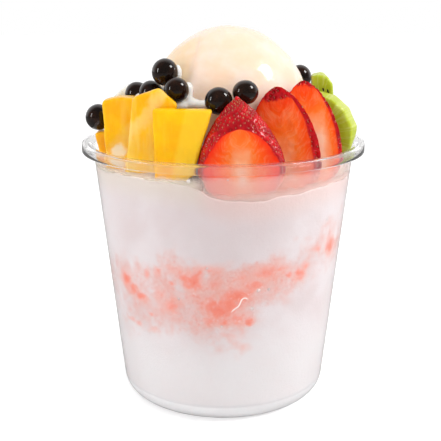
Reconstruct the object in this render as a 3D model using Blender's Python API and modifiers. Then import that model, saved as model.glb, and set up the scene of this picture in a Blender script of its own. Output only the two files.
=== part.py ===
import math

import bmesh
import bpy
from mathutils import Matrix, Vector

# A clear cup of shaved ice with a berry layer, fruit, dark pearls and one ice cream scoop.
# Lengths are metres, +Z is up and the cup's foot stands on z = 0 with its axis on Z.
# The strawberries and the mango blocks stand at -Y, the kiwi at +X.

# Cup
CUP_HEIGHT = 0.109
RIM_RADIUS = 0.0585
RIM_SKIRT = 0.0038
WALL = 0.0008
WALL_BASE_RADIUS = 0.0427
WALL_SLOPE = 0.1057
WALL_TOP = 0.1040
BASE_FILLET = 0.0080
FOOT_RECESS = 0.0010
FOOT_RECESS_RADIUS = 0.0280
FLOOR_TOP = 0.0018
TURN_STEPS = 48
FILLET_STEPS = 4

# Clearance between pieces that lie against each other
GAP = 0.0003
LAYER_GAP = 0.0005
POCKET_GAP = 0.0004

# Ice
LAYER_LOW = 0.0400
LAYER_HIGH = 0.0660
LAYER_WAVE = 0.0030
ICE_AT_WALL = 0.0996
ICE_TILT = 0.055
ICE_RISE = 0.0125
ICE_BUMPS = 0.0009
HOLLOW_DEPTH = 0.0042
HOLLOW_CENTRE = (0.036, -0.037)
HOLLOW_REACH = 0.013
ICE_FILL_TOP = 0.1160
SURFACE_CELLS = 18
SURFACE_SPAN = 0.1160

# Scoop
SCOOP_RADIUS = 0.0325
SCOOP_CENTRE = (0.0025, 0.0050, 0.1228)
SCOOP_BASE = 0.1062
SCOOP_STEPS = 32
SCOOP_RINGS = 12

# Pearls
PEARL_RADIUS = 0.0053
PEARL_SEGMENTS = 14
PEARL_RINGS = 8

# Fruit
BERRY_STEPS = 20
BERRY_RINGS = 11
BERRY_WIDEST = 0.66
CHUNK_BEVEL = 0.0011
KIWI_FACETS = 14


def mm(*values):
    """Lengths given in millimetres, as metres."""
    return tuple(value * 0.001 for value in values)


def start_scene():
    for old in list(bpy.data.objects):
        bpy.data.objects.remove(old, do_unlink=True)
    parts = bpy.data.collections.new("shaved_ice_cup")
    cutters = bpy.data.collections.new("cutters")
    cutters.hide_render = True
    bpy.context.scene.collection.children.link(parts)
    bpy.context.scene.collection.children.link(cutters)
    return parts, cutters


PARTS, CUTTERS = start_scene()


def make_material(name, color, roughness, transmission=0.0):
    material = bpy.data.materials.new(name)
    material.use_nodes = True
    shader = material.node_tree.nodes["Principled BSDF"]
    shader.inputs["Base Color"].default_value = (*color, 1.0)
    shader.inputs["Roughness"].default_value = roughness
    shader.inputs["Transmission Weight"].default_value = transmission
    return material


def add_object(name, mesh, material):
    obj = bpy.data.objects.new(name, mesh)
    obj.data.materials.append(material)
    PARTS.objects.link(obj)
    return obj


def add_cutter(name, mesh):
    obj = bpy.data.objects.new(name, mesh)
    obj.display_type = "WIRE"
    CUTTERS.objects.link(obj)
    return obj


def finish_mesh(name, bm):
    bmesh.ops.recalc_face_normals(bm, faces=bm.faces)
    mesh = bpy.data.meshes.new(name)
    bm.to_mesh(mesh)
    bm.free()
    return mesh


def cut_with(obj, cutter):
    boolean = obj.modifiers.new("cut_" + cutter.name, "BOOLEAN")
    boolean.operation = "DIFFERENCE"
    boolean.solver = "EXACT"
    boolean.object = cutter
    return boolean


def profile_mesh(name, points):
    """An open profile in the XZ plane, from (radius, height) pairs."""
    mesh = bpy.data.meshes.new(name)
    verts = [(radius, 0.0, height) for radius, height in points]
    edges = [(i, i + 1) for i in range(len(points) - 1)]
    mesh.from_pydata(verts, edges, [])
    return mesh


def add_turning(obj):
    screw = obj.modifiers.new("turn", "SCREW")
    screw.axis = "Z"
    screw.angle = math.tau
    screw.steps = TURN_STEPS
    screw.render_steps = TURN_STEPS
    screw.use_merge_vertices = True
    screw.merge_threshold = 0.00001
    screw.use_normal_calculate = True
    return screw


def outer_radius(height):
    return WALL_BASE_RADIUS + WALL_SLOPE * height


def inner_radius(height):
    return outer_radius(height) - WALL


def fillet_points(inset):
    """The rounded foot corner at this inset from the cup's outer face, from the wall down."""
    radius = BASE_FILLET - inset
    lean = math.atan(WALL_SLOPE)
    centre_z = BASE_FILLET
    centre_r = outer_radius(centre_z) - BASE_FILLET / math.cos(lean)
    points = []
    for step in range(FILLET_STEPS + 1):
        angle = -lean - (math.pi / 2 - lean) * step / FILLET_STEPS
        points.append((centre_r + radius * math.cos(angle), centre_z + radius * math.sin(angle)))
    return points


def raised_fillet(inset, floor):
    """The same corner on the inside, raised to meet the floor."""
    lift = floor - inset
    shift = WALL_SLOPE * lift
    return [(radius + shift, height + lift) for radius, height in fillet_points(inset)]


def make_cup():
    skirt_z = CUP_HEIGHT - RIM_SKIRT
    inside_floor = raised_fillet(WALL, FLOOR_TOP)
    points = [(0.0, FLOOR_TOP)]
    points += list(reversed(inside_floor))
    points += [
        (inner_radius(WALL_TOP), WALL_TOP),
        (inner_radius(WALL_TOP) + 0.0008, CUP_HEIGHT - 0.0016),
        (inner_radius(WALL_TOP) + 0.0021, CUP_HEIGHT - 0.0003),
        (inner_radius(WALL_TOP) + 0.0034, CUP_HEIGHT),
        (RIM_RADIUS - 0.0006, CUP_HEIGHT),
        (RIM_RADIUS, CUP_HEIGHT - 0.0006),
        (RIM_RADIUS, skirt_z),
        (RIM_RADIUS - WALL, skirt_z),
        (RIM_RADIUS - WALL, CUP_HEIGHT - WALL),
        (outer_radius(WALL_TOP) + 0.0016, CUP_HEIGHT - WALL - 0.0004),
        (outer_radius(WALL_TOP) + 0.0003, CUP_HEIGHT - 0.0020),
        (outer_radius(WALL_TOP), WALL_TOP),
    ]
    points += fillet_points(0.0)
    points += [
        (FOOT_RECESS_RADIUS + 0.0008, 0.0),
        (FOOT_RECESS_RADIUS, FOOT_RECESS),
        (0.0, FOOT_RECESS),
    ]
    points.reverse()
    cup = add_object("cup", profile_mesh("cup", points), CLEAR)
    add_turning(cup)
    return cup


def fill_mesh(name):
    """The room inside the cup up to just under the rim, as one turned solid."""
    floor = raised_fillet(WALL + GAP, FLOOR_TOP + GAP)
    top = [(0.0, ICE_FILL_TOP), (inner_radius(WALL_TOP) - GAP, ICE_FILL_TOP)]
    top.append((inner_radius(WALL_TOP) - GAP, WALL_TOP))
    points = top + floor + [(0.0, FLOOR_TOP + GAP)]
    return profile_mesh(name, points)


def wave(x, y, phase):
    """A slow unevenness between about -1 and 1."""
    first = math.sin(62.0 * x + 1.3 * phase) * math.cos(48.0 * y - phase)
    second = 0.5 * math.sin(118.0 * x - 95.0 * y + 2.1 * phase)
    return (first + second) / 1.5


def low_face(x, y):
    return LAYER_LOW + LAYER_WAVE * wave(x, y, 0.7) + 0.05 * x


def high_face(x, y):
    return LAYER_HIGH + LAYER_WAVE * wave(x, y, 2.4) + 0.10 * x


def top_face(x, y):
    """The heap, higher to the left, with a hollow before the right strawberries."""
    reach = min(1.0, max(0.0, (0.0535 - math.hypot(x, y)) / 0.0160))
    rise = ICE_RISE * reach * reach * (3.0 - 2.0 * reach)
    away = math.hypot(x - HOLLOW_CENTRE[0], y - HOLLOW_CENTRE[1]) / HOLLOW_REACH
    hollow = HOLLOW_DEPTH * math.exp(-away * away)
    bumps = ICE_BUMPS * wave(2.4 * x, 2.4 * y, 4.0)
    return ICE_AT_WALL - ICE_TILT * x + rise - hollow + bumps


def make_block_over(name, face, lift, far):
    """A block with one uneven face at face(x, y) + lift, reaching to the flat height far."""
    bm = bmesh.new()
    bmesh.ops.create_grid(
        bm, x_segments=SURFACE_CELLS, y_segments=SURFACE_CELLS, size=SURFACE_SPAN / 2
    )
    grown = bmesh.ops.extrude_face_region(bm, geom=bm.faces[:])
    moved = {item for item in grown["geom"] if isinstance(item, bmesh.types.BMVert)}
    for vert in bm.verts:
        x, y = vert.co.x, vert.co.y
        vert.co.z = far if vert in moved else face(x, y) + lift
    return add_cutter(name, finish_mesh(name, bm))


def make_ice():
    """Three layers cut from one turned fill by uneven faces."""
    floor_side = -0.0100
    sky_side = CUP_HEIGHT + 0.0400
    layers = []
    plan = (
        ("ice_bottom", ICE, None, low_face),
        ("berry_layer", BERRY_ICE, low_face, high_face),
        ("ice_top", ICE, high_face, top_face),
    )
    for name, material, under, over in plan:
        layer = add_object(name, fill_mesh(name), material)
        add_turning(layer)
        if under is not None:
            cut_with(layer, make_block_over(name + "_under", under, LAYER_GAP / 2, floor_side))
        lift = 0.0 if over is top_face else -LAYER_GAP / 2
        cut_with(layer, make_block_over(name + "_over", over, lift, sky_side))
        layers.append(layer)
    return layers


def spun_mesh(points, steps):
    """A closed turned body from (radius, height) pairs that start and end on the axis."""
    bm = bmesh.new()
    verts = [bm.verts.new((radius, 0.0, height)) for radius, height in points]
    edges = [bm.edges.new(pair) for pair in zip(verts, verts[1:])]
    bmesh.ops.spin(
        bm,
        geom=verts + edges,
        cent=(0.0, 0.0, 0.0),
        axis=(0.0, 0.0, 1.0),
        angle=math.tau,
        steps=steps,
        use_merge=True,
    )
    bmesh.ops.remove_doubles(bm, verts=bm.verts, dist=0.00001)
    return bm


def slice_off(bm, point, normal):
    """Removes what lies on the normal's side of a plane and closes the cut."""
    geom = bm.verts[:] + bm.edges[:] + bm.faces[:]
    cut = bmesh.ops.bisect_plane(
        bm, geom=geom, plane_co=point, plane_no=normal, clear_outer=True
    )
    edges = [item for item in cut["geom_cut"] if isinstance(item, bmesh.types.BMEdge)]
    bmesh.ops.contextual_create(bm, geom=edges)


def make_scoop():
    points = []
    for ring in range(SCOOP_RINGS + 1):
        angle = math.pi * ring / SCOOP_RINGS
        points.append((SCOOP_RADIUS * math.sin(angle), SCOOP_RADIUS * math.cos(angle)))
    bm = spun_mesh(points, SCOOP_STEPS)
    for vert in bm.verts:
        direction = vert.co.normalized()
        flat = max(0.0, direction.dot(Vector((0.60, -0.25, 0.76))) - 0.80)
        vert.co *= 1.0 - 0.10 * flat
    slice_off(bm, (0.0, 0.0, SCOOP_BASE - SCOOP_CENTRE[2]), (0.0, 0.0, -1.0))
    bmesh.ops.translate(bm, verts=bm.verts, vec=SCOOP_CENTRE)
    return add_object("ice_cream_scoop", finish_mesh("ice_cream_scoop", bm), CREAM)


def berry_radius(share, blunt):
    """A strawberry's radius over its widest, for a share from 0 at the tip to 1 at the hull.

    blunt rounds the tip, from 0 for a pointed one to 1.
    """
    if share < BERRY_WIDEST:
        swell = 1.45 + 0.30 * blunt
        return (1.0 - (1.0 - share / BERRY_WIDEST) ** swell) ** (0.85 - 0.25 * blunt)
    past = (share - BERRY_WIDEST) / (1.0 - BERRY_WIDEST)
    return (1.0 - 0.72 * past ** 2.6) ** 0.5


def make_berry(name, hull, tip, face, radius, depth, cut, blunt):
    """A strawberry from its hulled end to its tip, cut by a plane that faces the given way.

    depth is its half thickness across the face. cut says how far before the axis the plane
    passes, at the hulled end and at the tip.
    """
    hull, tip, face = Vector(hull), Vector(tip), Vector(face)
    axis = tip - hull
    length = axis.length
    axis.normalize()
    front = (face - axis * face.dot(axis)).normalized()
    side = front.cross(axis)
    points = []
    for ring in range(BERRY_RINGS + 1):
        share = (1.0 - math.cos(math.pi * ring / BERRY_RINGS)) / 2
        points.append((radius * berry_radius(share, blunt), length * (1.0 - share)))
    points.append((0.0, 0.0))
    bm = spun_mesh(points, BERRY_STEPS)
    bmesh.ops.scale(bm, verts=bm.verts, vec=(1.0, depth / radius, 1.0))
    lean = math.atan2(cut[1] - cut[0], length)
    normal = Vector((0.0, math.cos(lean), -math.sin(lean)))
    slice_off(bm, (0.0, cut[0], 0.0), normal)
    turn = Matrix((side, front, axis)).transposed().to_4x4()
    bmesh.ops.transform(bm, matrix=Matrix.Translation(hull) @ turn, verts=bm.verts)
    return add_object(name, finish_mesh(name, bm), STRAWBERRY)


def make_chunk(name, outline, front, back, skew, material, bevel=CHUNK_BEVEL):
    """A cut block from an outline in x and z.

    front and back are its y at the outline's foot and at its top. skew turns it, as the
    change of y for each step in x.
    """
    low = min(z for x, z in outline)
    high = max(z for x, z in outline)
    middle = sum(x for x, z in outline) / len(outline)
    bm = bmesh.new()
    for ends in (front, back):
        for x, z in outline:
            share = (z - low) / (high - low)
            y = ends[0] + (ends[1] - ends[0]) * share + skew * (x - middle)
            bm.verts.new((x, y, z))
    bmesh.ops.convex_hull(bm, input=bm.verts)
    bmesh.ops.dissolve_limit(
        bm, angle_limit=math.radians(2.0), verts=bm.verts, edges=bm.edges
    )
    obj = add_object(name, finish_mesh(name, bm), material)
    soften = obj.modifiers.new("soften", "BEVEL")
    soften.width = bevel
    soften.segments = 2
    soften.limit_method = "ANGLE"
    soften.angle_limit = math.radians(20.0)
    return obj


def make_kiwi(name, centre, radius, thickness, turn, trims):
    """A peeled kiwi slice that faces -Y turned about Z, cut straight by the trims' planes."""
    bm = bmesh.new()
    bmesh.ops.create_cone(
        bm,
        cap_ends=True,
        segments=KIWI_FACETS,
        radius1=radius * 0.94,
        radius2=radius,
        depth=thickness,
    )
    bmesh.ops.rotate(bm, verts=bm.verts, matrix=Matrix.Rotation(math.radians(-90.0), 3, "X"))
    bmesh.ops.rotate(bm, verts=bm.verts, matrix=Matrix.Rotation(math.radians(turn), 3, "Z"))
    bmesh.ops.translate(bm, verts=bm.verts, vec=centre)
    for point, normal in trims:
        slice_off(bm, point, normal)
    obj = add_object(name, finish_mesh(name, bm), KIWI)
    soften = obj.modifiers.new("soften", "BEVEL")
    soften.width = 0.0007
    soften.segments = 1
    soften.limit_method = "ANGLE"
    soften.angle_limit = math.radians(35.0)
    return obj


def make_pearl(name, centre, stretch=(1.0, 1.0, 1.0), turn=0.0):
    """A chewy pearl. stretch scales its x, y and z before the turn about Y in degrees."""
    bm = bmesh.new()
    bmesh.ops.create_uvsphere(
        bm, u_segments=PEARL_SEGMENTS, v_segments=PEARL_RINGS, radius=PEARL_RADIUS
    )
    bmesh.ops.scale(bm, verts=bm.verts, vec=stretch)
    bmesh.ops.rotate(bm, verts=bm.verts, matrix=Matrix.Rotation(math.radians(turn), 3, "Y"))
    bmesh.ops.translate(bm, verts=bm.verts, vec=centre)
    return add_object(name, finish_mesh(name, bm), PEARL)


def outline_mm(*pairs):
    return [mm(*pair) for pair in pairs]


def make_strawberries():
    return [
        make_berry(
            "strawberry_front", mm(7.6, -43.0, 93.6), mm(5.0, -39.3, 131.2),
            (0.0, -1.0, 0.0), 0.0162, 0.0112, mm(2.6, 9.8), 0.15,
        ),
        make_berry(
            "strawberry_middle", mm(24.4, -37.4, 92.4), mm(20.3, -27.4, 133.6),
            (-0.10, -1.0, 0.0), 0.0148, 0.0100, mm(-4.6, 0.2), 0.9,
        ),
        make_berry(
            "strawberry_right", mm(36.8, -25.6, 94.4), mm(31.2, -17.0, 134.8),
            (0.22, -1.0, 0.0), 0.0140, 0.0096, mm(-4.4, 0.2), 0.9,
        ),
        make_berry(
            "strawberry_back", mm(9.0, 50.0, 101.0), mm(5.0, 41.2, 128.0),
            (0.1, 1.0, 0.0), 0.0130, 0.0100, mm(-4.0, 0.2), 0.5,
        ),
    ]


def make_mangoes():
    left = outline_mm((-46.4, 98.4), (-47.5, 127.2), (-41.0, 128.8), (-33.6, 128.8), (-33.4, 98.4))
    peak = outline_mm((-38.2, 99.6), (-34.2, 130.2), (-23.7, 133.9), (-17.0, 127.6), (-27.6, 99.6))
    block = outline_mm((-25.4, 97.0), (-26.3, 126.8), (-3.8, 126.6), (-6.8, 120.0), (-12.8, 97.0))
    edge = outline_mm((-49.2, 99.0), (-52.2, 113.2), (-40.5, 114.6), (-40.5, 99.0))
    back = outline_mm((-35.0, 101.5), (-34.0, 119.5), (-19.0, 121.0), (-20.0, 101.5))
    return [
        make_chunk("mango_left", left, mm(-22.2, -22.4), mm(-13.6, -13.6), -0.25, MANGO),
        make_chunk("mango_peak", peak, mm(-33.6, -34.7), mm(-26.4, -31.1), -0.20, MANGO),
        make_chunk("mango_block", block, mm(-44.4, -42.0), mm(-38.1, -36.6), -0.06, MANGO),
        make_chunk("mango_edge", edge, mm(-11.8, -11.8), mm(-3.0, -3.0), 0.05, MANGO),
        make_chunk("mango_back", back, mm(27.5, 29.0), mm(38.0, 36.5), 0.30, MANGO),
    ]


def make_kiwis():
    """The slice leans on the rim, so its lower right corner is cut away above the wall."""
    left, right, down = (-1.0, 0.0, 0.0), (1.0, 0.0, 0.0), (0.0, 0.0, -1.0)
    slice_trims = [
        (mm(35.6, 0.0, 0.0), left),
        (mm(53.2, 0.0, 109.2), (0.90, 0.0, -0.44)),
        (mm(0.0, 0.0, 98.0), down),
    ]
    wedge_trims = [
        (mm(36.9, 0.0, 0.0), left),
        (mm(45.8, 0.0, 126.0), (0.97, 0.0, 0.10)),
        (mm(42.6, 0.0, 135.0), (0.80, 0.0, 0.60)),
        (mm(0.0, 0.0, 108.4), down),
    ]
    back_trims = [(mm(0.0, 0.0, 104.0), down)]
    return [
        make_kiwi("kiwi_slice", mm(37.6, -3.4, 111.6), 0.0178, 0.0070, -20.0, slice_trims),
        make_kiwi("kiwi_wedge", mm(40.0, 5.6, 117.6), 0.0186, 0.0060, -20.0, wedge_trims),
        make_kiwi("kiwi_back", mm(32.4, 28.4, 113.8), 0.0130, 0.0070, 140.0, back_trims),
    ]


def make_jellies():
    left = outline_mm((-45.6, 106.0), (-46.4, 125.4), (-39.8, 131.2), (-36.8, 129.4), (-36.8, 106.0))
    back = outline_mm((-17.5, 102.0), (-17.0, 118.0), (-7.0, 118.6), (-6.6, 102.0))
    return [
        make_chunk("jelly_left", left, mm(3.4, 3.8), mm(13.0, 11.0), 0.0, JELLY),
        make_chunk("jelly_back", back, mm(39.4, 39.0), mm(48.4, 47.4), 0.10, JELLY),
    ]


def make_pearls():
    return [
        make_pearl("pearl_left", mm(-51.0, -6.2, 118.9)),
        make_pearl("pearl_top", mm(-22.6, -19.4, 138.3)),
        make_pearl("pearl_shoulder", mm(-17.9, -26.8, 132.2), (0.90, 0.90, 0.98), -35.0),
        make_pearl("pearl_behind", mm(-28.6, -15.2, 129.8), (0.92, 0.92, 0.92)),
        make_pearl("pearl_far_left", mm(-35.2, -4.0, 128.0), (0.95, 0.95, 0.95)),
        make_pearl("pearl_front_left", mm(-1.7, -33.9, 128.9), (1.06, 0.92, 0.98), 35.0),
        make_pearl("pearl_front_right", mm(8.4, -31.6, 131.9), (0.97, 0.90, 0.88), 15.0),
        make_pearl("pearl_right", mm(33.6, 25.8, 132.0)),
        make_pearl("pearl_back_left", mm(-40.8, 21.0, 109.4)),
        make_pearl("pearl_back_middle", mm(-12.0, 41.0, 124.3)),
        make_pearl("pearl_back_right", mm(45.6, 13.6, 109.2)),
    ]


def pocket_cutter(piece):
    """A copy of a piece, grown by the clearance, with the same softened edges."""
    bm = bmesh.new()
    bm.from_mesh(piece.data)
    bm.normal_update()
    grown = [vert.normal * POCKET_GAP * vert.calc_shell_factor() for vert in bm.verts]
    for vert, step in zip(bm.verts, grown):
        vert.co += step
    cutter = add_cutter(piece.name + "_pocket", finish_mesh(piece.name + "_pocket", bm))
    for source in piece.modifiers:
        if source.type == "BEVEL":
            soften = cutter.modifiers.new("soften", "BEVEL")
            soften.width = source.width
            soften.segments = source.segments
            soften.limit_method = "ANGLE"
            soften.angle_limit = source.angle_limit
    return cutter


CLEAR = make_material("clear_cup", (0.92, 0.94, 0.95), 0.05, 1.0)
ICE = make_material("ice", (0.90, 0.90, 0.93), 0.55)
BERRY_ICE = make_material("berry_ice", (0.93, 0.62, 0.60), 0.55)
CREAM = make_material("ice_cream", (0.96, 0.88, 0.72), 0.35)
STRAWBERRY = make_material("strawberry", (0.80, 0.12, 0.08), 0.35)
MANGO = make_material("mango", (0.95, 0.62, 0.07), 0.35)
KIWI = make_material("kiwi", (0.45, 0.62, 0.12), 0.35)
PEARL = make_material("pearl", (0.03, 0.015, 0.012), 0.12)
JELLY = make_material("jelly", (0.90, 0.87, 0.82), 0.25)

make_cup()
ice_layers = make_ice()
scoop = make_scoop()
strawberries = make_strawberries()
toppings = [scoop] + strawberries
toppings += make_mangoes()
toppings += make_kiwis()
toppings += make_jellies()
toppings += make_pearls()

# The soft scoop is dented by the two slices that lean on it, and the ice by all that is sunk in it.
for slice_of_berry in strawberries[1:3]:
    cut_with(scoop, pocket_cutter(slice_of_berry))
for topping in toppings:
    lowest = min((topping.matrix_world @ vert.co).z for vert in topping.data.vertices)
    if lowest < ICE_AT_WALL + ICE_RISE + ICE_TILT * RIM_RADIUS + ICE_BUMPS:
        cut_with(ice_layers[2], pocket_cutter(topping))
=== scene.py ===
import math
import random

import bmesh
import bpy
from mathutils import Matrix, Vector, kdtree, noise


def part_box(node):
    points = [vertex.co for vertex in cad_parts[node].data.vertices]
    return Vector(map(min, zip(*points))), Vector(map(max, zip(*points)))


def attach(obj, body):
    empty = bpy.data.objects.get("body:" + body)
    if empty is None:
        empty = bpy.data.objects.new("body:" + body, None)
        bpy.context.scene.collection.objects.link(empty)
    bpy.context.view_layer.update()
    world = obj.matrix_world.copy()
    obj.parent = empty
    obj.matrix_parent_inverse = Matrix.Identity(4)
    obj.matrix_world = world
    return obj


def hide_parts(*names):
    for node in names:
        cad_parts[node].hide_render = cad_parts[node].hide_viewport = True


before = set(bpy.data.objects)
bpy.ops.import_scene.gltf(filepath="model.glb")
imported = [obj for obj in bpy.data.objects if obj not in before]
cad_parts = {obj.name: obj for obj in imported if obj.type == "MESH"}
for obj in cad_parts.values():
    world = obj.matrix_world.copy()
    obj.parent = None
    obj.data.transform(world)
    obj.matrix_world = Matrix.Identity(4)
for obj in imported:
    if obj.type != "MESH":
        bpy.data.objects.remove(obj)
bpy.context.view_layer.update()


def mm(*values):
    return tuple(value * 0.001 for value in values)


def smoothStep(low, high, value):
    share = min(1.0, max(0.0, (value - low) / (high - low)))
    return share * share * (3.0 - 2.0 * share)


def roughness3(point, scale, octaves=3):
    # soft fractal noise, about -1 to 1
    return noise.fractal(Vector(point) * scale, 1.0, 2.0, octaves)


# Mesh helpers

def meshFromBmesh(name, bm):
    mesh = bpy.data.meshes.new(name)
    bm.to_mesh(mesh)
    bm.free()
    return mesh


def cleanMesh(bm, merge=0.000004, collapse=0.000002):
    bmesh.ops.remove_doubles(bm, verts=bm.verts, dist=merge)
    bmesh.ops.dissolve_degenerate(bm, edges=bm.edges, dist=collapse)
    bmesh.ops.recalc_face_normals(bm, faces=bm.faces)


def placeObject(name, mesh, material=None, smooth=True):
    piece = bpy.data.objects.new(name, mesh)
    bpy.context.scene.collection.objects.link(piece)
    if material:
        mesh.materials.clear()
        mesh.materials.append(material)
    mesh.polygons.foreach_set("use_smooth", [smooth] * len(mesh.polygons))
    return piece


def gridMesh(name, rows, closeStart=True, closeEnd=True):
    # rows of points round an axis, one ring each; the first and last may close on a centre point
    bm = bmesh.new()
    rings = [[bm.verts.new(point) for point in row] for row in rows]
    count = len(rows[0])
    for lower, upper in zip(rings, rings[1:]):
        for i in range(count):
            j = (i + 1) % count
            bm.faces.new((lower[i], lower[j], upper[j], upper[i]))
    for ring, wanted in ((rings[0], closeStart), (rings[-1], closeEnd)):
        if wanted:
            centre = sum((vert.co for vert in ring), Vector()) / count
            middle = bm.verts.new(centre)
            for i in range(count):
                bm.faces.new((ring[i], ring[(i + 1) % count], middle))
    cleanMesh(bm)
    return meshFromBmesh(name, bm)


def plainMesh(piece):
    # applies what is on the piece and drops the modifiers
    bpy.context.view_layer.update()
    done = bpy.data.meshes.new_from_object(
        piece.evaluated_get(bpy.context.evaluated_depsgraph_get())
    )
    done.name = piece.name
    piece.modifiers.clear()
    piece.data = done
    return piece


def finishPiece(piece, slotName, *nodes):
    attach(piece, "root")
    if nodes:
        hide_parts(*nodes)
    return piece


# Shader helpers

def addNode(tree, kind, inputs=None, **settings):
    made = tree.nodes.new(kind)
    for key, value in settings.items():
        setattr(made, key, value)
    for key, value in (inputs or {}).items():
        if isinstance(value, bpy.types.NodeSocket):
            tree.links.new(value, made.inputs[key])
        else:
            made.inputs[key].default_value = value
    return made


def newMaterial(name, **sockets):
    material = bpy.data.materials.new(name)
    material.use_nodes = True
    tree = material.node_tree
    shader = tree.nodes["Principled BSDF"]
    for key, value in sockets.items():
        shader.inputs[key.replace("_", " ")].default_value = value
    place = addNode(tree, "ShaderNodeTexCoord").outputs["Object"]
    return material, tree, shader, place


def mixColour(tree, share, first, second, blend="MIX"):
    mix = addNode(tree, "ShaderNodeMix", data_type="RGBA", blend_type=blend)
    for index, value in ((0, share), (6, first), (7, second)):
        if isinstance(value, bpy.types.NodeSocket):
            tree.links.new(value, mix.inputs[index])
        elif index == 0:
            mix.inputs[0].default_value = value
        else:
            mix.inputs[index].default_value = (*value, 1.0)
    return mix.outputs[2]


def calc(tree, operation, *values, clamp=False):
    made = addNode(tree, "ShaderNodeMath", operation=operation, use_clamp=clamp)
    for index, value in enumerate(values):
        if isinstance(value, bpy.types.NodeSocket):
            tree.links.new(value, made.inputs[index])
        else:
            made.inputs[index].default_value = value
    return made.outputs[0]


def rampBetween(tree, value, low, high):
    return addNode(
        tree, "ShaderNodeMapRange",
        {"Value": value, "From Min": low, "From Max": high, "To Min": 0.0, "To Max": 1.0},
        interpolation_type="SMOOTHSTEP",
    ).outputs["Result"]


def colourRamp(tree, value, stops):
    ramp = addNode(tree, "ShaderNodeValToRGB", {"Fac": value})
    while len(ramp.color_ramp.elements) < len(stops):
        ramp.color_ramp.elements.new(0.5)
    for element, (position, colour) in zip(ramp.color_ramp.elements, stops):
        element.position = position
        element.color = (*colour, 1.0)
    return ramp.outputs["Color"]


def addBump(tree, shader, height, distance, strength=1.0):
    bump = addNode(
        tree, "ShaderNodeBump", {"Height": height, "Distance": distance, "Strength": strength}
    )
    tree.links.new(bump.outputs["Normal"], shader.inputs["Normal"])


def cloudNoise(tree, place, scale, detail, **more):
    inputs = {"Vector": place, "Scale": scale, "Detail": detail, **more}
    return addNode(tree, "ShaderNodeTexNoise", inputs).outputs["Fac"]


def aroundZero(tree, value, reach):
    # a value about one half becomes one about zero
    return calc(tree, "MULTIPLY", calc(tree, "SUBTRACT", value, 0.5), reach)


def cover(tree, colour, mask, strength, top):
    return mixColour(tree, calc(tree, "MULTIPLY", mask, strength), colour, top)


def paint(tree, shader, colour):
    tree.links.new(colour, shader.inputs["Base Color"])


def paintPatches(tree, shader, patch, first, second):
    paint(tree, shader, mixColour(tree, patch.outputs["Mask"], first, second))


def addRelief(tree, shader, place, grain, swell, share, distance, strength):
    sizes = {"Place": place, "Grain": grain, "Swell": swell, "Grain Share": share}
    relief = useGroup(tree, moistRelief, sizes)
    addBump(tree, shader, relief.outputs["Height"], distance, strength)


def distanceOf(tree, first, second):
    squares = [calc(tree, "MULTIPLY", part, part) for part in (first, second)]
    return calc(tree, "SQRT", calc(tree, "ADD", *squares))


def effectGroup(name, inputs, outputs):
    group = bpy.data.node_groups.new(name, "ShaderNodeTree")
    for key, kind, value in inputs:
        made = group.interface.new_socket(key, in_out="INPUT", socket_type=kind)
        if value is not None:
            made.default_value = value
    for key, kind in outputs:
        group.interface.new_socket(key, in_out="OUTPUT", socket_type=kind)
    start = group.nodes.new("NodeGroupInput")
    end = group.nodes.new("NodeGroupOutput")
    return group, start, end


def useGroup(tree, group, inputs):
    made = addNode(tree, "ShaderNodeGroup", node_tree=group)
    for key, value in inputs.items():
        if isinstance(value, bpy.types.NodeSocket):
            tree.links.new(value, made.inputs[key])
        else:
            made.inputs[key].default_value = value
    return made


def makeSoftPatches():
    # a mask of soft cloudy patches
    group, start, end = effectGroup(
        "softPatches",
        [
            ("Place", "NodeSocketVector", None), ("Scale", "NodeSocketFloat", 100.0),
            ("Low", "NodeSocketFloat", 0.4), ("High", "NodeSocketFloat", 0.6),
            ("Detail", "NodeSocketFloat", 3.0),
        ],
        [("Mask", "NodeSocketFloat")],
    )
    cloud = addNode(group, "ShaderNodeTexNoise", {
        "Vector": start.outputs["Place"], "Scale": start.outputs["Scale"],
        "Detail": start.outputs["Detail"], "Roughness": 0.55,
    })
    spread = addNode(
        group, "ShaderNodeMapRange",
        {"Value": cloud.outputs["Fac"], "From Min": start.outputs["Low"],
         "From Max": start.outputs["High"]},
        interpolation_type="SMOOTHSTEP",
    )
    group.links.new(spread.outputs["Result"], end.inputs["Mask"])
    return group


def makeMoistRelief():
    # height of a moist cut surface: fine grain over a slower unevenness
    group, start, end = effectGroup(
        "moistRelief",
        [
            ("Place", "NodeSocketVector", None), ("Grain", "NodeSocketFloat", 1400.0),
            ("Swell", "NodeSocketFloat", 220.0), ("Grain Share", "NodeSocketFloat", 0.35),
        ],
        [("Height", "NodeSocketFloat")],
    )
    fine = addNode(group, "ShaderNodeTexNoise", {
        "Vector": start.outputs["Place"], "Scale": start.outputs["Grain"], "Detail": 2.0,
    })
    slow = addNode(group, "ShaderNodeTexNoise", {
        "Vector": start.outputs["Place"], "Scale": start.outputs["Swell"], "Detail": 2.0,
    })
    part = calc(group, "MULTIPLY", fine.outputs["Fac"], start.outputs["Grain Share"])
    total = calc(group, "ADD", slow.outputs["Fac"], part)
    group.links.new(total, end.inputs["Height"])
    return group


softPatches = makeSoftPatches()
moistRelief = makeMoistRelief()

# The cup

cupShape = {
    "height": 0.109, "rimRadius": 0.0585, "rimSkirt": 0.0038, "wall": 0.0008,
    "baseRadius": 0.0427, "slope": 0.1057, "wallTop": 0.1040, "fillet": 0.0080,
    "footRecess": 0.0010, "footRecessRadius": 0.0280, "floor": 0.0018, "steps": 192,
}


def outerRadius(height):
    return cupShape["baseRadius"] + cupShape["slope"] * height


def innerRadius(height):
    return outerRadius(height) - cupShape["wall"]


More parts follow.
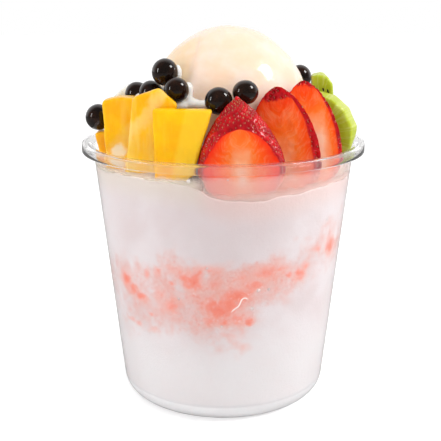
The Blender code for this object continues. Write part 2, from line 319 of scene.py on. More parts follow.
def filletPoints(inset, steps=10):
    radius = cupShape["fillet"] - inset
    lean = math.atan(cupShape["slope"])
    centreZ = cupShape["fillet"]
    centreR = outerRadius(centreZ) - cupShape["fillet"] / math.cos(lean)
    points = []
    for step in range(steps + 1):
        angle = -lean - (math.pi / 2 - lean) * step / steps
        points.append((centreR + radius * math.cos(angle), centreZ + radius * math.sin(angle)))
    return points


def raisedFillet(inset, floor, steps=10):
    lift = floor - inset
    return [(r + cupShape["slope"] * lift, z + lift) for r, z in filletPoints(inset, steps)]


def cupProfile():
    c = cupShape
    inside, outside = innerRadius(c["wallTop"]), outerRadius(c["wallTop"])
    top, edge = c["height"], c["rimRadius"]
    points = [(0.0, c["floor"]), (0.02, c["floor"])]
    points += list(reversed(raisedFillet(c["wall"], c["floor"])))
    points += [(innerRadius(z), z) for z in (0.03, 0.06, 0.09)]
    points += [
        (inside, c["wallTop"]), (inside + 0.00025, top - 0.0030), (inside + 0.0008, top - 0.0016),
        (inside + 0.0014, top - 0.0008), (inside + 0.0021, top - 0.0003),
        (inside + 0.0028, top - 0.00006), (inside + 0.0034, top), (edge - 0.0010, top),
        (edge - 0.0005, top - 0.00012), (edge - 0.00015, top - 0.0004), (edge, top - 0.0009),
        (edge, top - c["rimSkirt"] + 0.0003), (edge - 0.0002, top - c["rimSkirt"]),
        (edge - c["wall"], top - c["rimSkirt"]), (edge - c["wall"], top - 0.0013),
        (edge - c["wall"] - 0.0005, top - c["wall"]), (outside + 0.0024, top - c["wall"]),
        (outside + 0.0016, top - c["wall"] - 0.0004), (outside + 0.0008, top - 0.0017),
        (outside + 0.0003, top - 0.0026), (outside, c["wallTop"]),
    ]
    points += [(outerRadius(z), z) for z in (0.09, 0.06, 0.03)]
    points += filletPoints(0.0)
    points += [
        (c["footRecessRadius"] + 0.0008, 0.0), (c["footRecessRadius"], c["footRecess"]),
        (0.0, c["footRecess"]),
    ]
    return points


def geometryTree(name, inputs):
    tree = bpy.data.node_groups.new(name, "GeometryNodeTree")
    for key, kind in (("Geometry", "NodeSocketGeometry"), *inputs):
        tree.interface.new_socket(key, in_out="INPUT", socket_type=kind)
    tree.interface.new_socket("Geometry", in_out="OUTPUT", socket_type="NodeSocketGeometry")
    return tree, tree.nodes.new("NodeGroupInput"), tree.nodes.new("NodeGroupOutput")


def turnedByNodes(name, points):
    # a profile carried round the axis by Geometry Nodes
    mesh = bpy.data.meshes.new(name)
    edges = [(i, i + 1) for i in range(len(points) - 1)]
    mesh.from_pydata([(r, 0.0, z) for r, z in points], edges, [])
    piece = bpy.data.objects.new(name, mesh)
    bpy.context.scene.collection.objects.link(piece)
    tree, start, end = geometryTree(
        "turnProfile", [("Steps", "NodeSocketInt"), ("Finish", "NodeSocketMaterial")],
    )
    count = len(points)
    # one copy of the profile for each step, turned about Z
    line = addNode(
        tree, "GeometryNodeMeshLine", {"Count": start.outputs["Steps"], "Offset": (0.0, 0.0, 0.0)},
    )
    index = tree.nodes.new("GeometryNodeInputIndex").outputs[0]
    turn = calc(tree, "DIVIDE", calc(tree, "MULTIPLY", index, math.tau), start.outputs["Steps"])
    spin = addNode(tree, "ShaderNodeCombineXYZ", {"Z": turn}).outputs[0]
    copies = addNode(tree, "GeometryNodeInstanceOnPoints", {
        "Points": line.outputs[0], "Instance": start.outputs["Geometry"], "Rotation": spin,
    })
    real = addNode(tree, "GeometryNodeRealizeInstances", {"Geometry": copies.outputs[0]})
    # a closed grid takes its places from those copies
    grid = addNode(tree, "GeometryNodeMeshGrid", {
        "Size X": 1.0, "Size Y": 1.0, "Vertices Y": count,
        "Vertices X": calc(tree, "ADD", start.outputs["Steps"], 1.0),
    })
    column = calc(tree, "FLOOR", calc(tree, "DIVIDE", calc(tree, "ADD", index, 0.5), float(count)))
    row = calc(tree, "SUBTRACT", index, calc(tree, "MULTIPLY", column, float(count)))
    wrapped = calc(tree, "FLOORED_MODULO", column, start.outputs["Steps"])
    source = calc(tree, "ADD", calc(tree, "MULTIPLY", wrapped, float(count)), row)
    taken = addNode(
        tree, "GeometryNodeSampleIndex", {"Geometry": real.outputs[0], "Index": source},
        data_type="FLOAT_VECTOR",
    )
    tree.links.new(tree.nodes.new("GeometryNodeInputPosition").outputs[0], taken.inputs["Value"])
    moved = addNode(tree, "GeometryNodeSetPosition", {
        "Geometry": grid.outputs["Mesh"], "Position": taken.outputs[0],
    })
    joined = addNode(
        tree, "GeometryNodeMergeByDistance", {"Geometry": moved.outputs[0], "Distance": 0.000004},
    )
    whole = addNode(tree, "GeometryNodeRealizeInstances", {"Geometry": joined.outputs[0]})
    finish = addNode(
        tree, "GeometryNodeSetMaterial",
        {"Geometry": whole.outputs[0], "Material": start.outputs["Finish"]},
    )
    tree.links.new(finish.outputs[0], end.inputs[0])
    return piece, tree


def setInput(modifier, tree, name, value):
    for item in tree.interface.items_tree:
        if item.item_type == "SOCKET" and item.in_out == "INPUT" and item.name == name:
            modifier[item.identifier] = value


def makeClearPlastic():
    material, tree, shader, place = newMaterial(
        "clearPlastic", Base_Color=(0.955, 0.945, 0.943, 1.0), Roughness=0.03, IOR=1.24,
        Transmission_Weight=0.98,
    )
    addRelief(tree, shader, place, 900.0, 60.0, 0.1, 0.00006, 0.4)
    # shadow rays pass, so that the ice behind the wall is lit
    clear = addNode(tree, "ShaderNodeBsdfTransparent", {"Color": (0.97, 0.97, 0.975, 1.0)})
    rays = tree.nodes.new("ShaderNodeLightPath")
    mix = addNode(tree, "ShaderNodeMixShader", {
        0: rays.outputs["Is Shadow Ray"], 1: shader.outputs[0], 2: clear.outputs[0],
    })
    tree.links.new(mix.outputs[0], tree.nodes["Material Output"].inputs["Surface"])
    return material


def makeCup():
    profile = cupProfile()
    piece, tree = turnedByNodes("clearCup", profile)
    turning = piece.modifiers.new("turn", "NODES")
    turning.node_group = tree
    setInput(turning, tree, "Steps", cupShape["steps"])
    setInput(turning, tree, "Finish", makeClearPlastic())
    plainMesh(piece)
    bm = bmesh.new()
    bm.from_mesh(piece.data)
    cleanMesh(bm)
    bm.to_mesh(piece.data)
    bm.free()
    piece.data.polygons.foreach_set("use_smooth", [True] * len(piece.data.polygons))
    return finishPiece(piece, "clear_cup", "cup")


makeCup()
print("cup done")

# Shaved ice

iceShape = {
    "intoWall": 0.00030, "steps": 288, "sideRows": 110, "topRows": 84,
    "backLevel": 0.0996, "backTilt": 0.055, "rise": 0.0125, "slack": 0.24,
    "hollowDepth": 0.0036, "hollowCentre": (0.036, -0.037), "hollowReach": 0.013,
    "levelRadius": 0.0525, "floorRings": (0.004, 0.016, 0.026),
}
# height of the ice along the front wall, from left to right, in millimetres
frontLevel = [
    (-52, 99.5), (-40, 101.2), (-22, 101.0), (-13, 100.2), (-8.5, 98.4), (-5, 96.2), (0, 95.0), (8, 94.3),
    (15, 94.0), (20, 95.2), (28, 95.6), (35, 96.4), (42, 96.9), (47, 96.4), (53, 97.4),
]
# berry clumps seen through the front wall: x, z, reach across, reach up, strength
frontClumps = [
    (-38.6, 56.9, 2.0, 2.8, 1.0), (-35.6, 53.6, 2.4, 2.2, 1.0), (-32.6, 51.7, 2.4, 2.0, 0.9),
    (-29.6, 62.5, 1.0, 2.0, 0.7), (-25.3, 64.0, 1.6, 2.0, 0.7), (-19.9, 60.3, 1.4, 1.2, 0.7),
    (-11.8, 62.2, 4.2, 3.6, 1.0), (-9.6, 65.4, 2.4, 2.6, 0.8), (-17.6, 66.4, 3.6, 2.2, 0.5),
    (-5.2, 67.4, 4.6, 2.2, 0.6), (-3.2, 61.0, 3.2, 2.4, 0.5), (-20.3, 50.6, 3.6, 3.2, 0.7),
    (-24.2, 54.6, 2.6, 3.0, 0.5), (5.2, 56.3, 4.8, 3.4, 1.0), (-1.5, 49.6, 4.6, 3.2, 1.0),
    (-5.0, 52.4, 4.0, 3.4, 0.8), (2.4, 53.0, 4.6, 3.2, 0.95), (-4.6, 46.0, 3.4, 2.4, 0.75),
    (0.4, 45.6, 4.4, 2.2, 0.7), (5.8, 46.6, 4.0, 3.0, 0.7), (9.8, 45.4, 2.2, 1.7, 1.0),
    (11.2, 60.1, 3.6, 2.6, 0.8), (16.4, 65.4, 4.6, 2.8, 0.7), (6.6, 63.4, 3.0, 2.4, 0.6),
    (22.0, 65.8, 3.6, 2.0, 0.45), (25.6, 62.8, 1.6, 1.4, 0.7), (29.9, 62.2, 2.4, 2.6, 0.9),
    (31.6, 65.4, 1.6, 2.2, 0.7), (42.6, 69.9, 1.9, 3.4, 1.0), (37.0, 70.8, 1.4, 1.4, 0.6),
    (-36.9, 39.7, 1.6, 0.9, 0.7), (-33.8, 39.2, 1.4, 1.0, 0.7), (-28.2, 45.3, 1.4, 1.0, 0.6),
    (-27.2, 38.9, 1.6, 1.4, 0.5), (3.6, 39.4, 6.0, 3.0, 0.4), (8.2, 34.4, 3.0, 2.0, 0.35),
    (-12.0, 55.6, 5.0, 3.0, 0.4),
]


def interpolate(table, value):
    for (x0, y0), (x1, y1) in zip(table, table[1:]):
        if value <= x1:
            share = max(0.0, (value - x0) / (x1 - x0))
            return y0 + (y1 - y0) * share
    return table[-1][1]


def frontShare(x, y):
    # 1 in front of the cup's middle, 0 behind it
    return smoothStep(0.15, -0.45, y / max(0.001, math.hypot(x, y)))


def wallLevel(x, y):
    s = iceShape
    share = frontShare(x, y)
    back = s["backLevel"] - s["backTilt"] * x + 0.0012 * roughness3((x, y, 0.0), 90.0, 2)
    front = 0.001 * interpolate(frontLevel, 1000.0 * x) + 0.0005 * roughness3((x, y, 0.0), 160.0, 3)
    return back + (front - back) * share


def heapHeight(x, y):
    s = iceShape
    r = math.hypot(x, y)
    share = frontShare(x, y)
    berries = share * smoothStep(-0.014, -0.006, x)
    turn = s["levelRadius"] / max(0.001, r)
    level = wallLevel(x * turn, y * turn)
    # behind the wall the ice falls back to the foot of the fruit, then heaps up
    level -= s["slack"] * berries * max(0.0, s["levelRadius"] - max(r, 0.040))
    start = 0.0535 - (0.0090 + 0.0055 * berries) * share
    heap = smoothStep(start, start - 0.0150, r)
    target = s["backLevel"] - s["backTilt"] * x + s["rise"]
    away = math.hypot(x - s["hollowCentre"][0], y - s["hollowCentre"][1]) / s["hollowReach"]
    target -= s["hollowDepth"] * math.exp(-away * away)
    target += 0.0012 * roughness3((x, y, 0.0), 90.0, 2) + 0.0008 * roughness3((x, y, 0.3), 260.0, 4)
    return level + (target - level) * heap


def iceTint(point):
    # haze of berry juice, berry clumps, tint of the fruit above
    x, y, z = point
    wander = 0.008 * roughness3((x, y, z), 60.0, 4)
    lowEdge = 0.0375 + min(0.022, 0.9 * max(0.0, x - 0.008))
    highEdge = 0.0680 + 0.10 * x + 0.20 * max(0.0, x - 0.030)
    height = z + wander
    haze = smoothStep(lowEdge - 0.015, lowEdge + 0.018, height)
    haze *= 1.0 - 0.35 * smoothStep(0.014, 0.034, x)
    haze *= 1.0 - 0.30 * smoothStep(-0.006, -0.020, x) - 0.25 * smoothStep(-0.026, -0.046, x)
    haze *= smoothStep(highEdge + 0.011, highEdge - 0.006, height)
    edge = smoothStep(0.028, 0.044, x) * smoothStep(0.050, 0.064, z) * smoothStep(0.094, 0.078, z)
    haze = max(haze, 0.42 * edge)
    clump = 0.0
    if y < 0.0:
        for cx, cz, reachX, reachZ, strength in frontClumps:
            dx = (x * 1000.0 - cx) / reachX
            dz = (z * 1000.0 - cz) / reachZ
            clump = max(clump, strength * math.exp(-0.62 * (dx * dx + dz * dz)))
    else:
        spread = smoothStep(0.05, 0.55, roughness3((x, y, z), 75.0, 3))
        clump = haze * spread * smoothStep(0.0, 0.012, y)
    top = wallLevel(x, y)
    fruit = smoothStep(top - 0.012, top - 0.001, z)
    return max(0.0, min(1.0, haze)), clump, fruit


def makeIceMaterial():
    material, tree, shader, place = newMaterial(
        "shavedIce", Roughness=0.45, Subsurface_Weight=0.35, Subsurface_Scale=0.0016,
        Subsurface_Radius=(1.0, 0.8, 0.8), IOR=1.31,
    )
    tint = addNode(tree, "ShaderNodeAttribute", attribute_name="tint").outputs["Vector"]
    parts = addNode(tree, "ShaderNodeSeparateXYZ", {"Vector": tint}).outputs
    axes = addNode(tree, "ShaderNodeSeparateXYZ", {"Vector": place}).outputs
    across, up = axes["X"], axes["Z"]
    cloud = useGroup(tree, softPatches, {"Place": place, "Scale": 55.0, "Low": 0.36, "High": 0.68})
    colour = mixColour(tree, cloud.outputs["Mask"], (0.68, 0.60, 0.605), (0.73, 0.675, 0.685))
    # whiter towards the bottom, with the clear base showing as a thin band
    colour = cover(tree, colour, rampBetween(tree, up, 0.048, 0.022), 0.75, (0.755, 0.735, 0.74))
    # painted shade: the ice is painted darker in the middle, higher up
    middle = calc(
        tree, "MULTIPLY", rampBetween(tree, calc(tree, "ABSOLUTE", across), 0.030, 0.004),
        rampBetween(tree, up, 0.062, 0.074),
    )
    colour = cover(tree, colour, middle, 0.45, (0.60, 0.505, 0.51))
    # painted light: paler where the wall turns away
    turning = rampBetween(tree, calc(tree, "ABSOLUTE", across), 0.034, 0.050)
    colour = cover(tree, colour, turning, 0.55, (0.86, 0.82, 0.83))
    colour = mixColour(tree, rampBetween(tree, up, 0.0088, 0.0078), colour, (0.69, 0.67, 0.68))
    colour = mixColour(tree, rampBetween(tree, up, 0.0076, 0.0066), colour, (0.82, 0.81, 0.82))
    # juice haze: broad, uneven, finely grained
    wide = useGroup(tree, softPatches, {"Place": place, "Scale": 120.0, "Low": 0.30, "High": 0.70})
    grain = useGroup(
        tree, softPatches, {"Place": place, "Scale": 620.0, "Low": 0.42, "High": 0.60, "Detail": 5.0},
    )
    curd = cloudNoise(tree, place, 230.0, 4.0, Roughness=0.6)
    haze = calc(tree, "ADD", parts["X"], aroundZero(tree, curd, 1.1))
    haze = calc(
        tree, "MULTIPLY", rampBetween(tree, haze, 0.15, 0.95), rampBetween(tree, parts["X"], 0.0, 0.35),
    )
    uneven = calc(tree, "ADD", 0.40, calc(tree, "MULTIPLY", wide.outputs["Mask"], 0.46))
    uneven = calc(tree, "ADD", uneven, calc(tree, "MULTIPLY", grain.outputs["Mask"], 0.22))
    colour = cover(tree, colour, haze, uneven, (0.745, 0.385, 0.335))
    # clumps: a soft halo, a frayed body and a few deeper cores
    fray = cloudNoise(tree, place, 330.0, 5.0, Roughness=0.66)
    body = calc(tree, "ADD", parts["Y"], aroundZero(tree, fray, 1.7))
    halo = rampBetween(tree, calc(tree, "ADD", parts["Y"], aroundZero(tree, curd, 0.5)), 0.04, 0.70)
    colour = cover(tree, colour, halo, 0.55, (0.83, 0.335, 0.26))
    colour = cover(tree, colour, rampBetween(tree, body, 0.42, 1.00), 0.74, (0.85, 0.215, 0.135))
    colour = cover(tree, colour, rampBetween(tree, body, 0.95, 1.30), 0.45, (0.85, 0.14, 0.07))
    specks = useGroup(tree, softPatches, {"Place": place, "Scale": 820.0, "Low": 0.60, "High": 0.66})
    colour = cover(
        tree, colour, calc(tree, "MULTIPLY", specks.outputs["Mask"], haze), 0.55, (0.74, 0.27, 0.23),
    )
    flakes = useGroup(tree, softPatches, {"Place": place, "Scale": 1100.0, "Low": 0.62, "High": 0.70})
    colour = cover(
        tree, colour, calc(tree, "MULTIPLY", flakes.outputs["Mask"], parts["X"]), 0.5, (0.90, 0.78, 0.76),
    )
    # the fruit's colour shines into the ice just under it
    side = rampBetween(tree, across, -0.012, -0.004)
    shine = mixColour(tree, side, (0.69, 0.60, 0.46), (0.78, 0.53, 0.47))
    colour = mixColour(tree, calc(tree, "MULTIPLY", parts["Z"], 0.42), colour, shine)
    paint(tree, shader, colour)
    addRelief(tree, shader, place, 1500.0, 420.0, 0.7, 0.0003, 0.5)
    return material


def makeIce():
    s = iceShape
    angles = [math.tau * i / s["steps"] for i in range(s["steps"])]
    rows = []
    floor = raisedFillet(cupShape["wall"] - s["intoWall"], cupShape["floor"] - s["intoWall"])
    for r in s["floorRings"]:
        rows.append([(r * math.cos(a), r * math.sin(a), floor[-1][1]) for a in angles])
    for r, z in reversed(floor):
        rows.append([(r * math.cos(a), r * math.sin(a), z) for a in angles])
    startZ = floor[0][1]
    far = s["levelRadius"]
    levels = [wallLevel(far * math.cos(a), far * math.sin(a)) for a in angles]
    for step in range(1, s["sideRows"] + 1):
        share = step / s["sideRows"]
        row = []
        for a, level in zip(angles, levels):
            z = startZ + (level - startZ) * share
            r = innerRadius(z) + s["intoWall"]
            row.append((r * math.cos(a), r * math.sin(a), z))
        rows.append(row)
    for step in range(1, s["topRows"] + 1):
        share = step / (s["topRows"] + 1.0)
        row = []
        for a, level in zip(angles, levels):
            r = (innerRadius(level) + s["intoWall"]) * (1.0 - share)
            x, y = r * math.cos(a), r * math.sin(a)
            row.append((x, y, heapHeight(x, y)))
        rows.append(row)
    piece = placeObject("shavedIce", gridMesh("shavedIce", rows), makeIceMaterial())
    tint = piece.data.attributes.new("tint", "FLOAT_VECTOR", "POINT")
    tint.data.foreach_set("vector", [v for vert in piece.data.vertices for v in iceTint(vert.co)])
    return finishPiece(piece, "ice", "ice_bottom", "ice_top", "berry_layer")


makeIce()

frost = {"low": 0.0885, "high": 0.1036, "outward": 0.00020, "inward": 0.00025, "steps": 240, "rows": 26}


def makeFrost():
    # condensation at the wall's inner face, thick at the ice and gone below the rim
    material, tree, shader, place = newMaterial("wallFrost", Roughness=0.5, IOR=1.2)
    parts = addNode(tree, "ShaderNodeSeparateXYZ", {"Vector": place}).outputs
    cloud = useGroup(tree, softPatches, {"Place": place, "Scale": 170.0, "Low": 0.3, "High": 0.7})
    uneven = aroundZero(tree, cloud.outputs["Mask"], 0.0012)
    height = calc(tree, "ADD", parts["Z"], uneven)
    side = rampBetween(tree, parts["X"], -0.0125, -0.0065)
    # on the right it reaches 2 mm higher and stays thinner
    raised = calc(tree, "ADD", height, calc(tree, "MULTIPLY", side, -0.0020))
    fade = rampBetween(tree, raised, 0.1034, 0.0990)
    deepest = calc(tree, "SUBTRACT", 0.84, calc(tree, "MULTIPLY", side, 0.58))
    # it closes up again just over the ice
    toRight = calc(tree, "MAXIMUM", parts["X"], 0.0)
    brink = calc(tree, "ADD", height, calc(tree, "MULTIPLY", toRight, -0.05))
    closing = calc(tree, "MULTIPLY", rampBetween(tree, brink, 0.0980, 0.0942), 0.26)
    alpha = calc(tree, "ADD", calc(tree, "MULTIPLY", fade, deepest), closing, clamp=True)
    tree.links.new(alpha, shader.inputs["Alpha"])
    warm = mixColour(tree, side, (0.70, 0.63, 0.52), (0.82, 0.62, 0.56))
    paint(tree, shader, warm)
    f = frost
    rows = []
    for i in range(f["rows"]):
        z = f["low"] + (f["high"] - f["low"]) * i / (f["rows"] - 1)
        rows.append((innerRadius(z) + f["outward"], z))
    rows += [(r - f["outward"] - f["inward"], z) for r, z in reversed(rows)]
    rows.append(rows[0])
    angles = [math.tau * i / f["steps"] for i in range(f["steps"])]
    grid = [[(r * math.cos(a), r * math.sin(a), z) for a in angles] for r, z in rows]
    piece = placeObject("wallFrost", gridMesh("wallFrost", grid, False, False), material)
    return finishPiece(piece, "ice")


makeFrost()
print("ice done")

# Strawberries

berryGrid = {
    "rings": 150, "faceSteps": 68, "skinSteps": 140, "widest": 0.66, "seeds": 620,
    "faceSeeds": 900, "faceGap": 0.00155, "seedTurn": 2.39996, "seedAlong": 0.754877,
    "seedAcross": 0.569840, "pipSunk": 0.00030,
}
# dents round the pips: their reach and depth, and the ridge and grain about them
berryDents = {
    "reach": 0.00062, "deep": 0.00052, "ridgeAt": 0.0011, "ridgeReach": 0.0005, "ridge": 0.00016,
    "grain": 0.00010, "faceGrain": 0.00016,
}
berries = {
    "strawberryFront": {
        "node": "strawberry_front", "hull": mm(7.6, -43.0, 93.6), "tip": mm(5.0, -39.3, 131.2),
        "face": (0.0, -1.0, 0.0), "radius": 0.0162, "depth": 0.0112, "cut": mm(2.6, 9.8),
        "blunt": 0.15, "core": 0.85, "coreAt": 0.80, "spread": 0.75, "border": (0.0, 0.96, 0.96),
    },
    "strawberryMiddle": {
        "node": "strawberry_middle", "hull": mm(24.4, -37.4, 92.4), "tip": mm(20.3, -27.4, 133.6),
        "face": (-0.10, -1.0, 0.0), "radius": 0.0148, "depth": 0.0100, "cut": mm(-4.6, 0.2),
        "blunt": 0.9, "core": 0.62, "coreAt": 0.72, "spread": 1.1, "border": (0.12, 0.97, 0.80),
    },
    "strawberryRight": {
        "node": "strawberry_right", "hull": mm(36.8, -25.6, 94.4), "tip": mm(31.2, -17.0, 134.8),
        "face": (0.22, -1.0, 0.0), "radius": 0.0140, "depth": 0.0096, "cut": mm(-4.4, 0.2),
        "blunt": 0.9, "core": 1.20, "coreAt": 0.68, "spread": 1.7, "border": (0.05, 0.98, 0.88),
    },
    "strawberryBack": {
        "node": "strawberry_back", "hull": mm(9.0, 50.0, 101.0), "tip": mm(5.0, 41.2, 128.0),
        "face": (0.1, 1.0, 0.0), "radius": 0.0130, "depth": 0.0100, "cut": mm(-4.0, 0.2),
        "blunt": 0.5, "core": 0.6, "coreAt": 0.6, "spread": 1.1, "border": (0.05, 0.95, 0.95),
    },
}


def berryRadius(share, blunt):
    widest = berryGrid["widest"]
    if share < widest:
        swell = 1.45 + 0.30 * blunt
        return (1.0 - (1.0 - share / widest) ** swell) ** (0.85 - 0.25 * blunt)
    past = (share - widest) / (1.0 - widest)
    return (1.0 - 0.72 * past ** 2.6) ** 0.5


def berryFrame(b):
    hull, tip, face = Vector(b["hull"]), Vector(b["tip"]), Vector(b["face"])
    axis = tip - hull
    length = axis.length
    axis.normalize()
    front = (face - axis * face.dot(axis)).normalized()
    side = front.cross(axis)
    turn = Matrix((side, front, axis)).transposed().to_4x4()
    return Matrix.Translation(hull) @ turn, length


def berrySection(b, length, share):
    # half sizes of the whole section, its height, and where the cut face crosses it
    r = b["radius"] * berryRadius(share, b["blunt"])
    flat = b["depth"] / b["radius"]
    z = length * (1.0 - share)
    plane = b["cut"][0] + (b["cut"][1] - b["cut"][0]) * z / length
    reach = max(-0.98, min(1.0, plane / max(1e-9, r * flat)))
    return r, flat, z, reach, r * math.sqrt(max(0.0, 1.0 - reach * reach))


def fleshShare(b, across, share):
    # 0 where a border of skin runs over the cut face
    ragged = 0.03 * roughness3((across * 3.0, share * 9.0, b["radius"] * 900.0), 1.0, 2)
    tipEdge, leftEdge, rightEdge = b["border"]
    pulp = smoothStep(tipEdge - 0.015, tipEdge + 0.015, share + ragged) if tipEdge else 1.0
    pulp *= smoothStep(leftEdge + 0.03, leftEdge - 0.03, -across + ragged)
    return pulp * smoothStep(rightEdge + 0.03, rightEdge - 0.03, across + ragged)


def berrySeeds(b, length):
    # places of the pips in the berry's own frame: point and outward direction
    found = []
    for i in range(berryGrid["seeds"]):
        share = 0.02 + 0.95 * (i + 0.5) / berryGrid["seeds"]
        angle = i * berryGrid["seedTurn"] + 0.15 * math.sin(i * 5.3)
        r, flat, z, reach, half = berrySection(b, length, share)
        if reach < 0.999 and math.sin(angle) > reach - 0.04:
            continue
        nextR = b["radius"] * berryRadius(min(0.99, share + 0.02), b["blunt"])
        slope = (nextR - r) / (0.02 * length)
        out = Vector((math.cos(angle), math.sin(angle) / flat, slope)).normalized()
        found.append((Vector((r * math.cos(angle), r * flat * math.sin(angle), z)), out))
    for i in range(berryGrid["faceSeeds"]):
        share = (i * berryGrid["seedAlong"]) % 1.0
        across = -1.0 + 2.0 * ((i * berryGrid["seedAcross"]) % 1.0)
        if fleshShare(b, across, share) > 0.3:
            continue
        r, flat, z, reach, half = berrySection(b, length, share)
        point = Vector((-half * across, reach * r * flat, z))
        if half > 0.0008 and all((point - other).length > berryGrid["faceGap"] for other, out in found):
            found.append((point, Vector((0.0, 1.0, 0.0))))
    return found


def makeStrawberryMaterial():
    material, tree, shader, place = newMaterial(
        "strawberryFlesh", Roughness=0.25, Specular_IOR_Level=0.25, Subsurface_Weight=0.15,
        Subsurface_Scale=0.002, Subsurface_Radius=(1.0, 0.3, 0.15), Coat_Roughness=0.1, IOR=1.36,
    )
    cut = addNode(tree, "ShaderNodeAttribute", attribute_name="cut")
    parts = addNode(tree, "ShaderNodeSeparateXYZ", {"Vector": cut.outputs["Vector"]}).outputs
    inward, turn, onFace = parts["X"], parts["Y"], parts["Z"]
    wobble = cloudNoise(tree, place, 260.0, 3.0)
    inside = calc(tree, "ADD", inward, aroundZero(tree, wobble, 0.28))
    flesh = colourRamp(tree, inside, [
        (0.0, (0.60, 0.004, 0.006)), (0.08, (0.88, 0.028, 0.002)), (0.34, (0.95, 0.080, 0.001)),
        (0.60, (0.95, 0.165, 0.015)), (0.82, (0.95, 0.34, 0.15)), (1.0, (0.95, 0.52, 0.35)),
    ])
    # pale fibres run from the core to the skin
    fan = addNode(tree, "ShaderNodeCombineXYZ", {
        "X": calc(tree, "MULTIPLY", turn, 5.5), "Y": calc(tree, "MULTIPLY", inward, 4.5),
    })
    fibres = cloudNoise(tree, fan.outputs[0], 1.0, 3.0, Roughness=0.6)
    fibreMask = calc(
        tree, "MULTIPLY", rampBetween(tree, fibres, 0.42, 0.72), rampBetween(tree, inward, 0.06, 0.35),
    )
    fibreMask = calc(tree, "MULTIPLY", fibreMask, rampBetween(tree, inward, 0.95, 0.55))
    flesh = mixColour(tree, calc(tree, "MULTIPLY", fibreMask, 0.30), flesh, (0.95, 0.42, 0.20))
    skinPatch = useGroup(tree, softPatches, {"Place": place, "Scale": 180.0, "Low": 0.35, "High": 0.7})
    skin = mixColour(tree, skinPatch.outputs["Mask"], (0.36, 0.001, 0.006), (0.66, 0.004, 0.008))
    # the skin pales towards the hull
    low = rampBetween(
        tree, addNode(tree, "ShaderNodeSeparateXYZ", {"Vector": place}).outputs["Z"], 0.1065, 0.1005,
    )
    skin = mixColour(tree, calc(tree, "MULTIPLY", low, 0.85), skin, (0.86, 0.13, 0.07))
    colour = mixColour(tree, onFace, skin, flesh)
    paint(tree, shader, colour)
    tree.links.new(
        calc(tree, "SUBTRACT", 0.45, calc(tree, "MULTIPLY", onFace, 0.41)), shader.inputs["Coat Weight"],
    )
    addRelief(tree, shader, place, 1700.0, 500.0, 0.5, 0.00022, 0.6)
    return material


def makePipMaterial():
    material, tree, shader, place = newMaterial("berryPip", Roughness=0.3)
    patch = useGroup(tree, softPatches, {"Place": place, "Scale": 700.0, "Low": 0.4, "High": 0.6})
    paintPatches(tree, shader, patch, (0.36, 0.06, 0.03), (0.62, 0.20, 0.09))
    return material


def makeScatterTree(name):
    # copies of a small mesh on the points of a mesh, turned by their "facing" attribute
    tree, start, end = geometryTree(name, [
        ("Small Mesh", "NodeSocketObject"), ("Smallest", "NodeSocketFloat"),
        ("Largest", "NodeSocketFloat"), ("Tumble", "NodeSocketFloat"), ("Seed", "NodeSocketInt"),
        ("Finish", "NodeSocketMaterial"),
    ])
    small = addNode(tree, "GeometryNodeObjectInfo", {"Object": start.outputs["Small Mesh"]})
    facing = addNode(
        tree, "GeometryNodeInputNamedAttribute", {"Name": "facing"}, data_type="FLOAT_VECTOR",
    )
    aim = addNode(tree, "FunctionNodeAlignRotationToVector", {"Vector": facing.outputs[0]}, axis="Z")
    size = addNode(tree, "FunctionNodeRandomValue", {"Seed": start.outputs["Seed"]}, data_type="FLOAT")
    tree.links.new(start.outputs["Smallest"], size.inputs[2])
    tree.links.new(start.outputs["Largest"], size.inputs[3])
    tumble = addNode(
        tree, "FunctionNodeRandomValue", {"Seed": calc(tree, "ADD", start.outputs["Seed"], 7.0)},
        data_type="FLOAT_VECTOR",
    )
    for index, sign in enumerate((-1.0, 1.0)):
        limit = addNode(
            tree, "ShaderNodeVectorMath", {0: (sign, sign, sign), "Scale": start.outputs["Tumble"]},
            operation="SCALE",
        )
        tree.links.new(limit.outputs[0], tumble.inputs[index])
    placed = addNode(tree, "GeometryNodeInstanceOnPoints", {
        "Points": start.outputs["Geometry"], "Instance": small.outputs["Geometry"],
        "Rotation": aim.outputs[0], "Scale": size.outputs[1],
    })
    turned = addNode(
        tree, "GeometryNodeRotateInstances",
        {"Instances": placed.outputs[0], "Rotation": tumble.outputs[0]},
    )
    real = addNode(tree, "GeometryNodeRealizeInstances", {"Geometry": turned.outputs[0]})
    finish = addNode(
        tree, "GeometryNodeSetMaterial", {"Geometry": real.outputs[0], "Material": start.outputs["Finish"]},
    )
    tree.links.new(finish.outputs[0], end.inputs[0])
    return tree


scatterTree = makeScatterTree("scatterSmall")


def scatter(name, points, small, smallest, largest, tumble, seed, material):
    # points are (place, facing) pairs in metres
    mesh = bpy.data.meshes.new(name)
    mesh.from_pydata([tuple(p) for p, f in points], [], [])
    facing = mesh.attributes.new("facing", "FLOAT_VECTOR", "POINT")
    facing.data.foreach_set("vector", [v for p, f in points for v in f])
    piece = bpy.data.objects.new(name, mesh)
    bpy.context.scene.collection.objects.link(piece)
    made = piece.modifiers.new("scatter", "NODES")
    made.node_group = scatterTree
    for key, value in (
        ("Small Mesh", small), ("Smallest", smallest), ("Largest", largest),
        ("Tumble", tumble), ("Seed", seed), ("Finish", material),
    ):
        setInput(made, scatterTree, key, value)
    plainMesh(piece)
    piece.data.polygons.foreach_set("use_smooth", [True] * len(piece.data.polygons))
    return piece


def smallMesh(name, build):
    bm = bmesh.new()
    build(bm)
    piece = bpy.data.objects.new(name, meshFromBmesh(name, bm))
    bpy.context.scene.collection.objects.link(piece)
    return piece


def buildPip(bm):
    bmesh.ops.create_uvsphere(bm, u_segments=8, v_segments=5, radius=1.0)
    bmesh.ops.scale(bm, verts=bm.verts, vec=mm(0.24, 0.40, 0.16))


